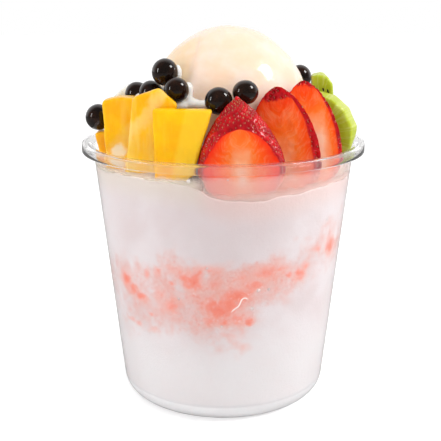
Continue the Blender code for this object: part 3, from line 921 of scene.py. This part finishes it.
def makeBerry(name, b, flesh, pip, pipMesh):
    place, length = berryFrame(b)
    dents = berryDents
    rows, marks = [], []
    rings, faceSteps, skinSteps = berryGrid["rings"], berryGrid["faceSteps"], berryGrid["skinSteps"]
    for ring in range(1, rings + 1):
        share = (1.0 - math.cos(math.pi * (0.02 + 0.98 * ring / rings))) / 2
        r, flat, z, reach, half = berrySection(b, length, share)
        edgeAngle = math.asin(reach)
        row, mark = [], []
        for i in range(faceSteps):
            across = -1.0 + 2.0 * i / faceSteps
            across = math.sin(across * math.pi / 2 * 0.9) / math.sin(math.pi / 2 * 0.9)
            row.append(Vector((-half * across, reach * r * flat, z)))
            mark.append((across, share, 1.0 if half > 0.0002 else 0.0))
        for i in range(skinSteps):
            angle = math.pi - edgeAngle + (math.pi + 2 * edgeAngle) * i / skinSteps
            row.append(Vector((r * math.cos(angle), r * flat * math.sin(angle), z)))
            mark.append((0.0, share, 0.0))
        rows.append(row)
        marks.append(mark)
    seeds = berrySeeds(b, length)
    tree = kdtree.KDTree(max(1, len(seeds)))
    for i, (point, out) in enumerate(seeds):
        tree.insert(point, i)
    tree.balance()
    bm = bmesh.new()
    layer = bm.verts.layers.float_vector.new("cut")
    grid = []
    for row, mark in zip(rows, marks):
        made = []
        for point, (across, share, onFace) in zip(row, mark):
            pulp = fleshShare(b, across, share) if onFace > 0.5 else 0.0
            index, distance = tree.find(point)[1:]
            hollow = math.exp(-(distance / dents["reach"]) ** 2)
            ridge = math.exp(-((distance - dents["ridgeAt"]) / dents["ridgeReach"]) ** 2)
            dimple = dents["deep"] * hollow - dents["ridge"] * ridge
            dimple -= dents["grain"] * roughness3(place @ point, 900.0, 2)
            if onFace > 0.5:
                depth = dents["faceGrain"] * roughness3(place @ point, 420.0, 3)
                depth *= 1.0 - across * across
                point = point + Vector((0.0, depth * pulp - dimple * (1.0 - pulp), 0.0))
            else:
                point = point - seeds[index][1] * dimple
            vert = bm.verts.new(point)
            # 0 at the skin, 1 at the core line; fibres climb outward from the core
            inward = 1.0 - abs(across) ** b["spread"] if onFace else 0.0
            away = b["coreAt"] - share
            inward = min(inward, 1.0 - 0.95 * (away / b["coreAt"] if away > 0 else -away / 0.5))
            inward = min(1.0, inward * (0.55 + b["core"] * 0.6))
            turn = share * 5.0 + abs(across) * 1.5 + 0.22 * roughness3(point, 260.0, 2)
            vert[layer] = (max(0.0, inward), turn, pulp)
            made.append(vert)
        grid.append(made)
    count = len(grid[0])
    for upper, lower in zip(grid, grid[1:]):
        for i in range(count):
            j = (i + 1) % count
            bm.faces.new((upper[i], lower[i], lower[j], upper[j]))
    for ring in (grid[0], grid[-1]):
        middle = bm.verts.new(sum((v.co for v in ring), Vector()) / count)
        middle[layer] = ring[0][layer]
        for i in range(count):
            bm.faces.new((ring[i], ring[(i + 1) % count], middle))
    bmesh.ops.transform(bm, matrix=place, verts=bm.verts)
    cleanMesh(bm, 0.000006, 0.000003)
    piece = placeObject(name, meshFromBmesh(name, bm), flesh)
    finishPiece(piece, "strawberry", b["node"])
    turn = place.to_3x3()
    points = [(place @ (p - out * berryGrid["pipSunk"]), turn @ out) for p, out in seeds]
    pips = scatter(name + "Pips", points, pipMesh, 0.85, 1.15, 0.12, 11, pip)
    finishPiece(pips, "strawberry")


def makeBerries():
    flesh, pip = makeStrawberryMaterial(), makePipMaterial()
    pipMesh = smallMesh("pipShape", buildPip)
    for name, b in berries.items():
        makeBerry(name, b, flesh, pip, pipMesh)
    bpy.data.objects.remove(pipMesh)


makeBerries()
print("strawberries done")

# Cut fruit and jelly, refined from the solids

def refineNode(node, name, material, voxel, waves, waveScale, fine, fineScale):
    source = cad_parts[node]
    bm = bmesh.new()
    bm.from_mesh(source.data)
    bmesh.ops.remove_doubles(bm, verts=bm.verts, dist=0.00002)
    piece = placeObject(name, meshFromBmesh(name, bm), material)
    remesh = piece.modifiers.new("remesh", "REMESH")
    remesh.mode = "VOXEL"
    remesh.voxel_size = voxel
    remesh.use_smooth_shade = True
    ease = piece.modifiers.new("ease", "SMOOTH")
    ease.factor = 0.5
    ease.iterations = 6
    plainMesh(piece)
    mesh = piece.data
    normals = [vert.normal.copy() for vert in mesh.vertices]
    places = []
    for vert, normal in zip(mesh.vertices, normals):
        push = waves * roughness3(vert.co, waveScale, 2) + fine * roughness3(vert.co, fineScale, 3)
        places.extend(vert.co + normal * push)
    mesh.vertices.foreach_set("co", places)
    mesh.update()
    mesh.materials.clear()
    mesh.materials.append(material)
    mesh.polygons.foreach_set("use_smooth", [True] * len(mesh.polygons))
    return piece


mangoes = {
    "mangoLeft": ("mango_left", 0.30), "mangoPeak": ("mango_peak", 0.50),
    "mangoBlock": ("mango_block", 0.0), "mangoEdge": ("mango_edge", 0.1),
    "mangoBack": ("mango_back", 0.3),
}
mangoSurface = {"voxel": 0.00042, "waves": 0.00025, "waveScale": 130.0, "fine": 0.0001, "fineScale": 600.0}
creamSmear = {"x": -0.0412, "z": 0.1078}


def makeMangoMaterial(name, pale):
    material, tree, shader, place = newMaterial(
        name, Roughness=0.27, Subsurface_Weight=0.2, Subsurface_Scale=0.003,
        Subsurface_Radius=(1.0, 0.6, 0.15), Coat_Weight=0.08, Coat_Roughness=0.1, IOR=1.36,
        Specular_IOR_Level=0.35,
    )
    wide = useGroup(tree, softPatches, {"Place": place, "Scale": 70.0, "Low": 0.35, "High": 0.65})
    lean = addNode(
        tree, "ShaderNodeMapping",
        {"Vector": place, "Rotation": (0.0, 0.45, 0.2), "Scale": (1.0, 1.0, 0.16)},
    )
    strands = useGroup(
        tree, softPatches, {"Place": lean.outputs[0], "Scale": 420.0, "Low": 0.50, "High": 0.68},
    )
    colour = mixColour(tree, wide.outputs["Mask"], (0.93, 0.42, 0.0), (0.95, 0.53, 0.0))
    colour = cover(tree, colour, strands.outputs["Mask"], 0.14, (0.96, 0.70, 0.05))
    paleMask = useGroup(
        tree, softPatches, {"Place": lean.outputs[0], "Scale": 130.0, "Low": 0.48, "High": 0.62},
    )
    colour = cover(tree, colour, paleMask.outputs["Mask"], pale, (0.94, 0.66, 0.13))
    # a pale streak runs down to the left
    axes = addNode(tree, "ShaderNodeSeparateXYZ", {"Vector": place}).outputs
    streak = calc(
        tree, "SUBTRACT", calc(tree, "MULTIPLY", axes["X"], 0.756),
        calc(tree, "MULTIPLY", axes["Z"], 0.655),
    )
    bend = cloudNoise(tree, place, 160.0, 3.0)
    streak = calc(tree, "ADD", calc(tree, "ADD", streak, 0.1030), aroundZero(tree, bend, 0.007))
    streak = rampBetween(tree, calc(tree, "ABSOLUTE", streak), 0.0034, 0.0008)
    colour = cover(tree, colour, streak, min(0.42, pale * 0.85), (0.95, 0.66, 0.26))
    # a smear of cream low on the left piece
    aside = calc(tree, "SUBTRACT", axes["X"], creamSmear["x"])
    above = calc(tree, "SUBTRACT", axes["Z"], creamSmear["z"])
    reach = calc(tree, "ADD", distanceOf(tree, aside, above), aroundZero(tree, bend, 0.006))
    colour = cover(tree, colour, rampBetween(tree, reach, 0.0036, 0.0010), 0.70, (0.90, 0.84, 0.70))
    if pale == 0.0:
        # painted light: the block's right face is painted lighter than its left
        facet = rampBetween(
            tree, calc(tree, "ADD", axes["X"], calc(tree, "MULTIPLY", above, -0.22)), -0.0190, -0.0172,
        )
        colour = cover(tree, colour, facet, 0.5, (0.96, 0.62, 0.03))
    paint(tree, shader, colour)
    addRelief(tree, shader, lean.outputs[0], 1300.0, 380.0, 0.6, 0.00025, 0.5)
    return material


for mangoName, (mangoNode, paleShare) in mangoes.items():
    mango = refineNode(mangoNode, mangoName, makeMangoMaterial(mangoName, paleShare), **mangoSurface)
    finishPiece(mango, "mango", mangoNode)
print("mango done")

kiwis = {
    "kiwiSlice": {"node": "kiwi_slice", "centre": mm(37.6, -3.4, 111.6), "turn": -20.0, "radius": 0.0178},
    "kiwiWedge": {"node": "kiwi_wedge", "centre": mm(40.0, 5.6, 117.6), "turn": -20.0, "radius": 0.0186},
    "kiwiBack": {"node": "kiwi_back", "centre": mm(32.4, 28.4, 113.8), "turn": 140.0, "radius": 0.0130},
}
kiwiSurface = {"voxel": 0.00040, "waves": 0.0002, "waveScale": 150.0, "fine": 0.00008, "fineScale": 700.0}
kiwiSeedRing = {"count": 34, "jitter": 0.06, "inner": 0.40, "outer": 0.66, "sunk": 0.00022, "side": 0.02}


def makeKiwiMaterial(name, k):
    material, tree, shader, place = newMaterial(
        name, Roughness=0.25, Subsurface_Weight=0.25, Subsurface_Scale=0.003,
        Subsurface_Radius=(0.7, 1.0, 0.2), Coat_Weight=0.3, Coat_Roughness=0.1, IOR=1.38,
    )
    # the slice's own frame: its axis becomes Y
    onSlice = addNode(tree, "ShaderNodeMapping", {
        "Vector": place, "Location": k["centre"], "Rotation": (0.0, 0.0, math.radians(k["turn"])),
    }, vector_type="TEXTURE")
    parts = addNode(tree, "ShaderNodeSeparateXYZ", {"Vector": onSlice.outputs[0]}).outputs
    turn = calc(tree, "ARCTAN2", parts["X"], parts["Z"])
    out = calc(tree, "DIVIDE", distanceOf(tree, parts["X"], parts["Z"]), k["radius"])
    flesh = colourRamp(tree, out, [
        (0.0, (0.70, 0.68, 0.30)), (0.20, (0.64, 0.64, 0.20)), (0.30, (0.40, 0.47, 0.025)),
        (0.70, (0.44, 0.51, 0.020)), (0.92, (0.47, 0.54, 0.025)), (1.0, (0.53, 0.60, 0.07)),
    ])
    fan = addNode(
        tree, "ShaderNodeCombineXYZ",
        {"X": calc(tree, "MULTIPLY", turn, 9.0), "Y": calc(tree, "MULTIPLY", out, 1.2)},
    )
    fibre = cloudNoise(tree, fan.outputs[0], 1.4, 3.0)
    fibreMask = calc(
        tree, "MULTIPLY", rampBetween(tree, fibre, 0.48, 0.64), rampBetween(tree, out, 0.2, 0.5),
    )
    colour = mixColour(tree, calc(tree, "MULTIPLY", fibreMask, 0.5), flesh, (0.62, 0.67, 0.16))
    paint(tree, shader, colour)
    addRelief(tree, shader, place, 1500.0, 400.0, 0.5, 0.00025, 0.5)
    return material


def buildKiwiSeed(bm):
    bmesh.ops.create_uvsphere(bm, u_segments=8, v_segments=6, radius=1.0)
    bmesh.ops.scale(bm, verts=bm.verts, vec=mm(0.45, 1.15, 0.40))


def makeKiwiSeeds(name, k, piece, seedMesh, material):
    # dark seeds in a ring round the pale core, on both cut faces
    turn = Matrix.Rotation(math.radians(k["turn"]), 3, "Z")
    draw = random.Random(5)
    ring = kiwiSeedRing
    points = []
    for side in (-1.0, 1.0):
        for i in range(ring["count"]):
            angle = math.tau * i / ring["count"] + draw.uniform(-ring["jitter"], ring["jitter"])
            reach = k["radius"] * draw.uniform(ring["inner"], ring["outer"])
            local = Vector((reach * math.sin(angle), 0.0, reach * math.cos(angle)))
            start = Vector(k["centre"]) + turn @ (local + Vector((0.0, ring["side"] * side, 0.0)))
            inward = turn @ Vector((0.0, -side, 0.0))
            hit, where, out, index = piece.ray_cast(start, inward, distance=0.03)
            if hit:
                points.append((where - out * ring["sunk"], out))
    if points:
        seeds = scatter(name + "Seeds", points, seedMesh, 0.8, 1.1, 0.0, 3, material)
        finishPiece(seeds, "kiwi")


def makeKiwis():
    dark, tree, shader, place = newMaterial("kiwiSeed", Roughness=0.2, Coat_Weight=0.3)
    patch = useGroup(tree, softPatches, {"Place": place, "Scale": 900.0, "Low": 0.4, "High": 0.6})
    paintPatches(tree, shader, patch, (0.008, 0.005, 0.004), (0.03, 0.016, 0.01))
    seedMesh = smallMesh("kiwiSeedShape", buildKiwiSeed)
    for name, k in kiwis.items():
        piece = refineNode(k["node"], name, makeKiwiMaterial(name, k), **kiwiSurface)
        finishPiece(piece, "kiwi", k["node"])
        makeKiwiSeeds(name, k, piece, seedMesh, dark)
    bpy.data.objects.remove(seedMesh)


makeKiwis()
print("kiwi done")


def makeJellyMaterial():
    material, tree, shader, place = newMaterial(
        "paleJelly", Roughness=0.15, Subsurface_Weight=0.6, Subsurface_Scale=0.006,
        Subsurface_Radius=(1.0, 0.9, 0.75), Coat_Weight=0.4, Coat_Roughness=0.08, IOR=1.36,
    )
    patch = useGroup(tree, softPatches, {"Place": place, "Scale": 160.0, "Low": 0.35, "High": 0.7})
    paintPatches(tree, shader, patch, (0.80, 0.74, 0.60), (0.90, 0.87, 0.80))
    addRelief(tree, shader, place, 900.0, 250.0, 0.3, 0.0002, 0.4)
    return material


jellySurface = {"voxel": 0.00045, "waves": 0.0003, "waveScale": 160.0, "fine": 0.00005, "fineScale": 700.0}
jellyMaterial = makeJellyMaterial()
for jellyName, jellyNode in (("jellyLeft", "jelly_left"), ("jellyBack", "jelly_back")):
    jelly = refineNode(jellyNode, jellyName, jellyMaterial, **jellySurface)
    finishPiece(jelly, "jelly", jellyNode)

# Pearls

sunkPearl = {"centre": mm(-10.6, -47.2, 99.2), "radius": 0.0036}


def makePearlMaterial():
    material, tree, shader, place = newMaterial(
        "darkPearl", Roughness=0.12, Coat_Weight=0.3, Coat_Roughness=0.05, IOR=1.36,
        Subsurface_Weight=0.1, Subsurface_Scale=0.002, Subsurface_Radius=(1.0, 0.3, 0.15),
    )
    patch = useGroup(tree, softPatches, {"Place": place, "Scale": 260.0, "Low": 0.35, "High": 0.7})
    paintPatches(tree, shader, patch, (0.006, 0.003, 0.002), (0.022, 0.008, 0.004))
    addRelief(tree, shader, place, 700.0, 200.0, 0.2, 0.0002, 0.25)
    return material


def makePearls():
    material = makePearlMaterial()
    for node in sorted(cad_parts):
        if not node.startswith("pearl_"):
            continue
        low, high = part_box(node)
        centre, half = (low + high) / 2, (high - low) / 2
        bm = bmesh.new()
        bmesh.ops.create_uvsphere(bm, u_segments=56, v_segments=36, radius=1.0)
        for vert in bm.verts:
            lump = 1.0 + 0.018 * roughness3(vert.co * 0.9 + centre * 400.0, 1.2, 2)
            vert.co = centre + Vector((vert.co.x * half.x, vert.co.y * half.y, vert.co.z * half.z)) * lump
        words = node.split("_")
        name = words[0] + "".join(word.capitalize() for word in words[1:])
        finishPiece(placeObject(name, meshFromBmesh(name, bm), material), "pearl", node)
    # one more has sunk beside the front strawberry and shows dimly through the frost
    bm = bmesh.new()
    bmesh.ops.create_uvsphere(bm, u_segments=40, v_segments=24, radius=sunkPearl["radius"])
    bmesh.ops.translate(bm, verts=bm.verts, vec=sunkPearl["centre"])
    finishPiece(placeObject("sunkPearl", meshFromBmesh("sunkPearl", bm), material), "pearl")


makePearls()
print("pearls done")

# Ice cream

scoopShape = {
    "centre": mm(2.5, 5.0, 122.8), "radius": 0.0322, "base": 0.1062, "steps": 200, "rings": 130,
    "facet": (0.60, -0.25, 0.76), "facetStart": 0.80, "facetDepth": 0.05,
    "flats": [(0.66, -0.05, 0.75, 0.0316), (-0.56, -0.10, 0.822, 0.0317), (0.10, -0.30, 0.949, 0.0318)],
}


def makeCreamMaterial():
    material, tree, shader, place = newMaterial(
        "iceCream", Roughness=0.20, Subsurface_Weight=0.35, Subsurface_Scale=0.004,
        Subsurface_Radius=(1.0, 0.75, 0.45), Coat_Weight=0.35, Coat_Roughness=0.05, IOR=1.36,
    )
    wide = useGroup(tree, softPatches, {"Place": place, "Scale": 75.0, "Low": 0.35, "High": 0.68})
    colour = mixColour(tree, wide.outputs["Mask"], (0.95, 0.68, 0.50), (0.96, 0.75, 0.63))
    # the left side, past the crease, is a deeper cream
    axes = addNode(tree, "ShaderNodeSeparateXYZ", {"Vector": place}).outputs
    shift = calc(tree, "ADD", axes["X"], aroundZero(tree, wide.outputs["Mask"], 0.004))
    deeper = rampBetween(tree, shift, -0.0090, -0.0170)
    colour = cover(tree, colour, deeper, 0.75, (0.86, 0.635, 0.37))
    paint(tree, shader, colour)
    addRelief(tree, shader, place, 900.0, 160.0, 0.3, 0.0003, 0.35)
    return material


def makeScoop():
    s = scoopShape
    centre = Vector(s["centre"])
    facet = Vector(s["facet"]).normalized()
    baseZ = s["base"] - centre.z
    lowest = math.acos(max(-1.0, baseZ / s["radius"]))
    rows = []
    for ring in range(1, s["rings"] + 1):
        tilt = lowest * ring / s["rings"]
        row = []
        for i in range(s["steps"]):
            turn = math.tau * i / s["steps"]
            way = Vector((math.sin(tilt) * math.cos(turn), math.sin(tilt) * math.sin(turn), math.cos(tilt)))
            r = s["radius"] * (1.0 - s["facetDepth"] * max(0.0, way.dot(facet) - s["facetStart"]))
            for flatX, flatY, flatZ, flatAt in s["flats"]:
                along = way.x * flatX + way.y * flatY + way.z * flatZ
                over = max(0.0, r * along - flatAt)
                r -= 0.8 * over * smoothStep(0.0, 0.00025, over)
            r += 0.00030 * roughness3(way, 2.2, 2) + 0.00008 * roughness3(way, 9.0, 3)
            # a crease down the left where the scoop closed, and a soft step over it
            crease = way.x + 0.46 + 0.06 * math.sin(5.0 * way.z)
            if way.y < 0.3:
                fade = smoothStep(0.94, 0.80, way.z)
                r -= 0.00034 * fade * math.exp(-(crease / 0.035) ** 2)
                r += 0.00022 * fade * math.exp(-((crease - 0.09) / 0.06) ** 2)
            row.append(centre + way * r)
        rows.append(row)
    piece = placeObject("iceCreamScoop", gridMesh("iceCreamScoop", rows), makeCreamMaterial())
    return finishPiece(piece, "ice_cream", "ice_cream_scoop")


makeScoop()

# melted cream round the pearls: centre and half sizes in millimetres
meltBlobs = [
    (-15.5, -16.5, 131.0, 4.2, 4.0, 4.6), (-13.6, -19.5, 128.0, 3.8, 4.0, 3.4),
    (-12.0, -24.0, 126.6, 4.6, 3.6, 2.2), (-7.0, -25.2, 126.4, 4.8, 3.4, 1.9),
    (-16.8, -25.0, 126.2, 4.4, 3.6, 2.2), (-19.5, -13.8, 134.2, 3.6, 3.2, 3.6),
    (-24.5, -12.0, 129.2, 4.4, 4.4, 3.0), (-31.0, -9.0, 127.0, 5.0, 4.0, 2.6),
    (-2.0, -25.6, 125.6, 4.2, 3.2, 1.8), (-37.0, -3.0, 124.6, 4.8, 4.0, 2.8),
    (-13.5, -22.6, 131.6, 2.1, 3.2, 3.4), (-13.9, -23.6, 128.8, 2.2, 2.8, 2.4),
    (-17.9, -17.6, 137.8, 1.9, 2.6, 3.4),
]


def makeBlobs(name, blobs, material, voxel):
    bm = bmesh.new()
    for x, y, z, a, b, c in blobs:
        made = bmesh.ops.create_uvsphere(bm, u_segments=28, v_segments=18, radius=1.0)["verts"]
        for vert in made:
            vert.co = Vector(mm(x + a * vert.co.x, y + b * vert.co.y, z + c * vert.co.z))
    piece = placeObject(name, meshFromBmesh(name, bm), material)
    remesh = piece.modifiers.new("remesh", "REMESH")
    remesh.mode = "VOXEL"
    remesh.voxel_size = voxel
    ease = piece.modifiers.new("ease", "SMOOTH")
    ease.factor = 0.5
    ease.iterations = 10
    plainMesh(piece)
    piece.data.polygons.foreach_set("use_smooth", [True] * len(piece.data.polygons))
    return piece


def makeMelt():
    material, tree, shader, place = newMaterial(
        "meltedCream", Roughness=0.16, Subsurface_Weight=0.5, Subsurface_Scale=0.003,
        Subsurface_Radius=(1.0, 0.85, 0.7), Coat_Weight=0.3, Coat_Roughness=0.06, IOR=1.36,
    )
    patch = useGroup(tree, softPatches, {"Place": place, "Scale": 140.0, "Low": 0.35, "High": 0.7})
    paintPatches(tree, shader, patch, (0.86, 0.82, 0.76), (0.93, 0.91, 0.87))
    finishPiece(makeBlobs("meltedCream", meltBlobs, material, 0.00045), "ice_cream")


makeMelt()
print("scoop done")

# Trapped air by the wall, lit by a painted glow

# bubbles against the front wall: x, z, radius in millimetres
wallBubbles = [
    (13.5, 58.2, 0.75), (17.4, 58.2, 0.55), (11.1, 50.8, 0.65), (9.6, 51.6, 0.35), (-17.0, 54.2, 0.60),
    (-18.6, 53.6, 0.35), (-6.1, 67.9, 0.50), (-3.1, 75.3, 0.30), (41.7, 75.6, 0.40), (40.4, 82.2, 0.45),
    (29.7, 80.1, 0.35), (21.7, 66.1, 0.35), (3.6, 60.4, 0.30), (-9.4, 49.6, 0.40), (-0.6, 43.6, 0.45),
    (2.6, 43.0, 0.35), (6.4, 44.0, 0.35), (-12.6, 101.9, 0.80), (1.7, 102.6, 0.35), (-31.0, 43.6, 0.30),
    (18.2, 62.6, 0.30), (15.4, 54.6, 0.30), (25.8, 69.4, 0.30), (-22.4, 58.8, 0.30),
]
# a thread of air against the front wall, made a bright highlight by a painted glow: x, z in millimetres
airThread = [
    (3.0, 49.6), (3.7, 50.4), (4.4, 51.0), (5.7, 51.9), (6.3, 52.8), (6.6, 53.8), (7.1, 54.9),
    (8.0, 55.5), (8.9, 55.3), (9.5, 54.7),
]
airShape = {
    "spots": 90, "smallest": 0.10, "largest": 0.20, "bubbleInset": -0.0002, "threadInset": -0.00034,
    "threadWidth": 0.00019, "tipWidth": 0.00008, "threadFlat": 0.7,
}


def wallPoint(x, z, inset=0.0):
    # a place on the front of the inner wall, from millimetres
    reach = innerRadius(z * 0.001) - inset
    return Vector((x * 0.001, -math.sqrt(reach * reach - x * x * 1e-6), z * 0.001))


def buildBubble(bm):
    bmesh.ops.create_icosphere(bm, subdivisions=3, radius=0.001)
    bmesh.ops.scale(bm, verts=bm.verts, vec=(1.0, 1.0, 0.30))


def makeAirMaterial(name, first, second, glow, **sockets):
    material, tree, shader, place = newMaterial(
        name, Roughness=0.10, Coat_Weight=0.6, Coat_Roughness=0.03, **sockets,
    )
    patch = useGroup(tree, softPatches, {"Place": place, "Scale": 1500.0, "Low": 0.40, "High": 0.60})
    shade = mixColour(tree, patch.outputs["Mask"], first, second)
    paint(tree, shader, shade)
    # the glow is painted light: the air shines though there is no lamp in it
    tree.links.new(shade, shader.inputs["Emission Color"])
    shader.inputs["Emission Strength"].default_value = glow
    return material


def makeBubbles():
    # painted light: the bubbles glow a little
    material = makeAirMaterial("trappedAir", (0.86, 0.78, 0.76), (1.0, 0.99, 0.98), 0.12, Alpha=0.45)
    small = smallMesh("bubbleShape", buildBubble)
    draw = random.Random(12)
    spots = list(wallBubbles)
    while len(spots) < airShape["spots"]:
        x, z = draw.uniform(-42.0, 44.0), draw.uniform(14.0, 92.0)
        if abs(x) < innerRadius(z * 0.001) * 940.0:
            spots.append((x, z, draw.uniform(airShape["smallest"], airShape["largest"])))
    groups = {}
    for x, z, radius in spots:
        point = wallPoint(x, z, airShape["bubbleInset"])
        out = Vector((point.x, point.y, -cupShape["slope"] * innerRadius(point.z))).normalized()
        groups.setdefault(round(radius, 1), []).append((point, out))
    for count, (radius, points) in enumerate(sorted(groups.items())):
        size = max(0.12, radius)
        made = scatter("wallBubbles%d" % count, points, small, size * 0.9, size * 1.1, 0.0, 4, material)
        finishPiece(made, "ice")
    bpy.data.objects.remove(small)


def makeAirThread():
    a = airShape
    places = [wallPoint(x, z, a["threadInset"]) for x, z in airThread]
    last = len(places) - 1
    turns = [math.tau * step / 10 for step in range(10)]
    rings = []
    for i, centre in enumerate(places):
        along = (places[min(last, i + 1)] - places[max(0, i - 1)]).normalized()
        side = along.cross(Vector((0.0, 1.0, 0.0))).normalized()
        up = side.cross(along) * a["threadFlat"]
        width = a["threadWidth"] if 0 < i < last else a["tipWidth"]
        rings.append([centre + (side * math.cos(t) + up * math.sin(t)) * width for t in turns])
    bright = makeAirMaterial("brightAir", (0.98, 0.93, 0.91), (1.0, 0.99, 0.98), 0.08)
    finishPiece(placeObject("airThread", gridMesh("airThread", rings), bright), "ice")


makeBubbles()
makeAirThread()
print("air done")

# Camera, light and floor

# the focal length and the shift are in pixels of the photograph, which is photoPixels wide
photoPixels = 441.0
view = {
    "place": (0.0, -0.367, 0.1705), "down": 14.8, "focalPixels": 886.0, "shiftPixels": -2.7,
    "sensor": 36.0, "nearest": 0.01,
}
lights = {
    "softboxRight": {"way": (0.717, -0.168, 0.676), "far": 0.85, "size": (0.22, 0.25), "power": 3.1},
    "stripLeft": {"way": (-0.868, -0.407, 0.279), "far": 0.85, "size": (0.08, 0.34), "power": 1.2},
    "overhead": {"way": (-0.15, -0.55, 0.82), "far": 1.0, "size": (0.7, 0.7), "power": 0.6},
}
lightTarget = (0.0, 0.0, 0.11)


def makeCamera():
    camera = bpy.data.cameras.new("photoCamera")
    camera.lens = view["focalPixels"] / photoPixels * view["sensor"]
    camera.sensor_width = view["sensor"]
    camera.shift_x = view["shiftPixels"] / photoPixels
    camera.clip_start = view["nearest"]
    piece = bpy.data.objects.new("photoCamera", camera)
    piece.location = view["place"]
    piece.rotation_euler = (math.radians(90.0 - view["down"]), 0.0, 0.0)
    bpy.context.scene.collection.objects.link(piece)
    bpy.context.scene.camera = piece


def makeLights():
    target = Vector(lightTarget)
    for name, settings in lights.items():
        light = bpy.data.lights.new(name, "AREA")
        light.shape = "RECTANGLE"
        light.size, light.size_y = settings["size"]
        light.energy = settings["power"]
        piece = bpy.data.objects.new(name, light)
        piece.visible_glossy = name != "overhead"
        way = Vector(settings["way"]).normalized()
        piece.location = target + way * settings["far"]
        piece.rotation_euler = way.to_track_quat("Z", "Y").to_euler()
        bpy.context.scene.collection.objects.link(piece)


def reflectedOnly(tree):
    # 1 for reflections, 0 for what is seen straight or through the plastic
    rays = tree.nodes.new("ShaderNodeLightPath").outputs
    through = calc(tree, "SUBTRACT", 1.0, rays["Is Transmission Ray"])
    return calc(tree, "MULTIPLY", rays["Is Glossy Ray"], through)


def makeWorld():
    world = bpy.data.worlds.new("studio")
    world.use_nodes = True
    bpy.context.scene.world = world
    tree = world.node_tree
    back = tree.nodes["Background"]
    back.inputs["Color"].default_value = (1.0, 1.0, 1.0, 1.0)
    rays = tree.nodes.new("ShaderNodeLightPath")
    # gloss sees a dim room in front and the white backdrop behind; shading a little less than white
    way = addNode(
        tree, "ShaderNodeSeparateXYZ",
        {"Vector": tree.nodes.new("ShaderNodeTexCoord").outputs["Generated"]},
    ).outputs
    front = calc(tree, "MULTIPLY", rampBetween(tree, way["Y"], 0.45, -0.05), 0.84)
    level = calc(tree, "SUBTRACT", 1.0, calc(tree, "MULTIPLY", reflectedOnly(tree), front))
    level = calc(tree, "SUBTRACT", level, calc(tree, "MULTIPLY", rays.outputs["Is Diffuse Ray"], 0.14))
    tree.links.new(level, back.inputs["Strength"])


def makeFloor():
    bm = bmesh.new()
    bmesh.ops.create_circle(bm, cap_ends=True, segments=96, radius=3.0)
    material, tree, shader, place = newMaterial(
        "paleFloor", Roughness=0.8, Emission_Color=(1.0, 1.0, 1.0, 1.0), Emission_Strength=0.26,
    )
    patch = useGroup(tree, softPatches, {"Place": place, "Scale": 3.0, "Low": 0.2, "High": 0.8})
    paintPatches(tree, shader, patch, (0.93, 0.93, 0.93), (0.95, 0.95, 0.95))
    # reflections see a dimmer floor, as on a table in front of a backdrop
    dim = calc(tree, "SUBTRACT", 1.0, calc(tree, "MULTIPLY", reflectedOnly(tree), 0.75))
    base = shader.inputs["Base Color"].links[0].from_socket
    tree.links.new(mixColour(tree, dim, (0.0, 0.0, 0.0), base), shader.inputs["Base Color"])
    tree.links.new(mixColour(tree, dim, (0.0, 0.0, 0.0), (1.0, 1.0, 1.0)), shader.inputs["Emission Color"])
    floor = placeObject("paleFloor", meshFromBmesh("paleFloor", bm), material, smooth=False)


makeCamera()
makeLights()
makeWorld()
makeFloor()
bpy.context.scene.view_settings.view_transform = "Standard"
print("stage done")
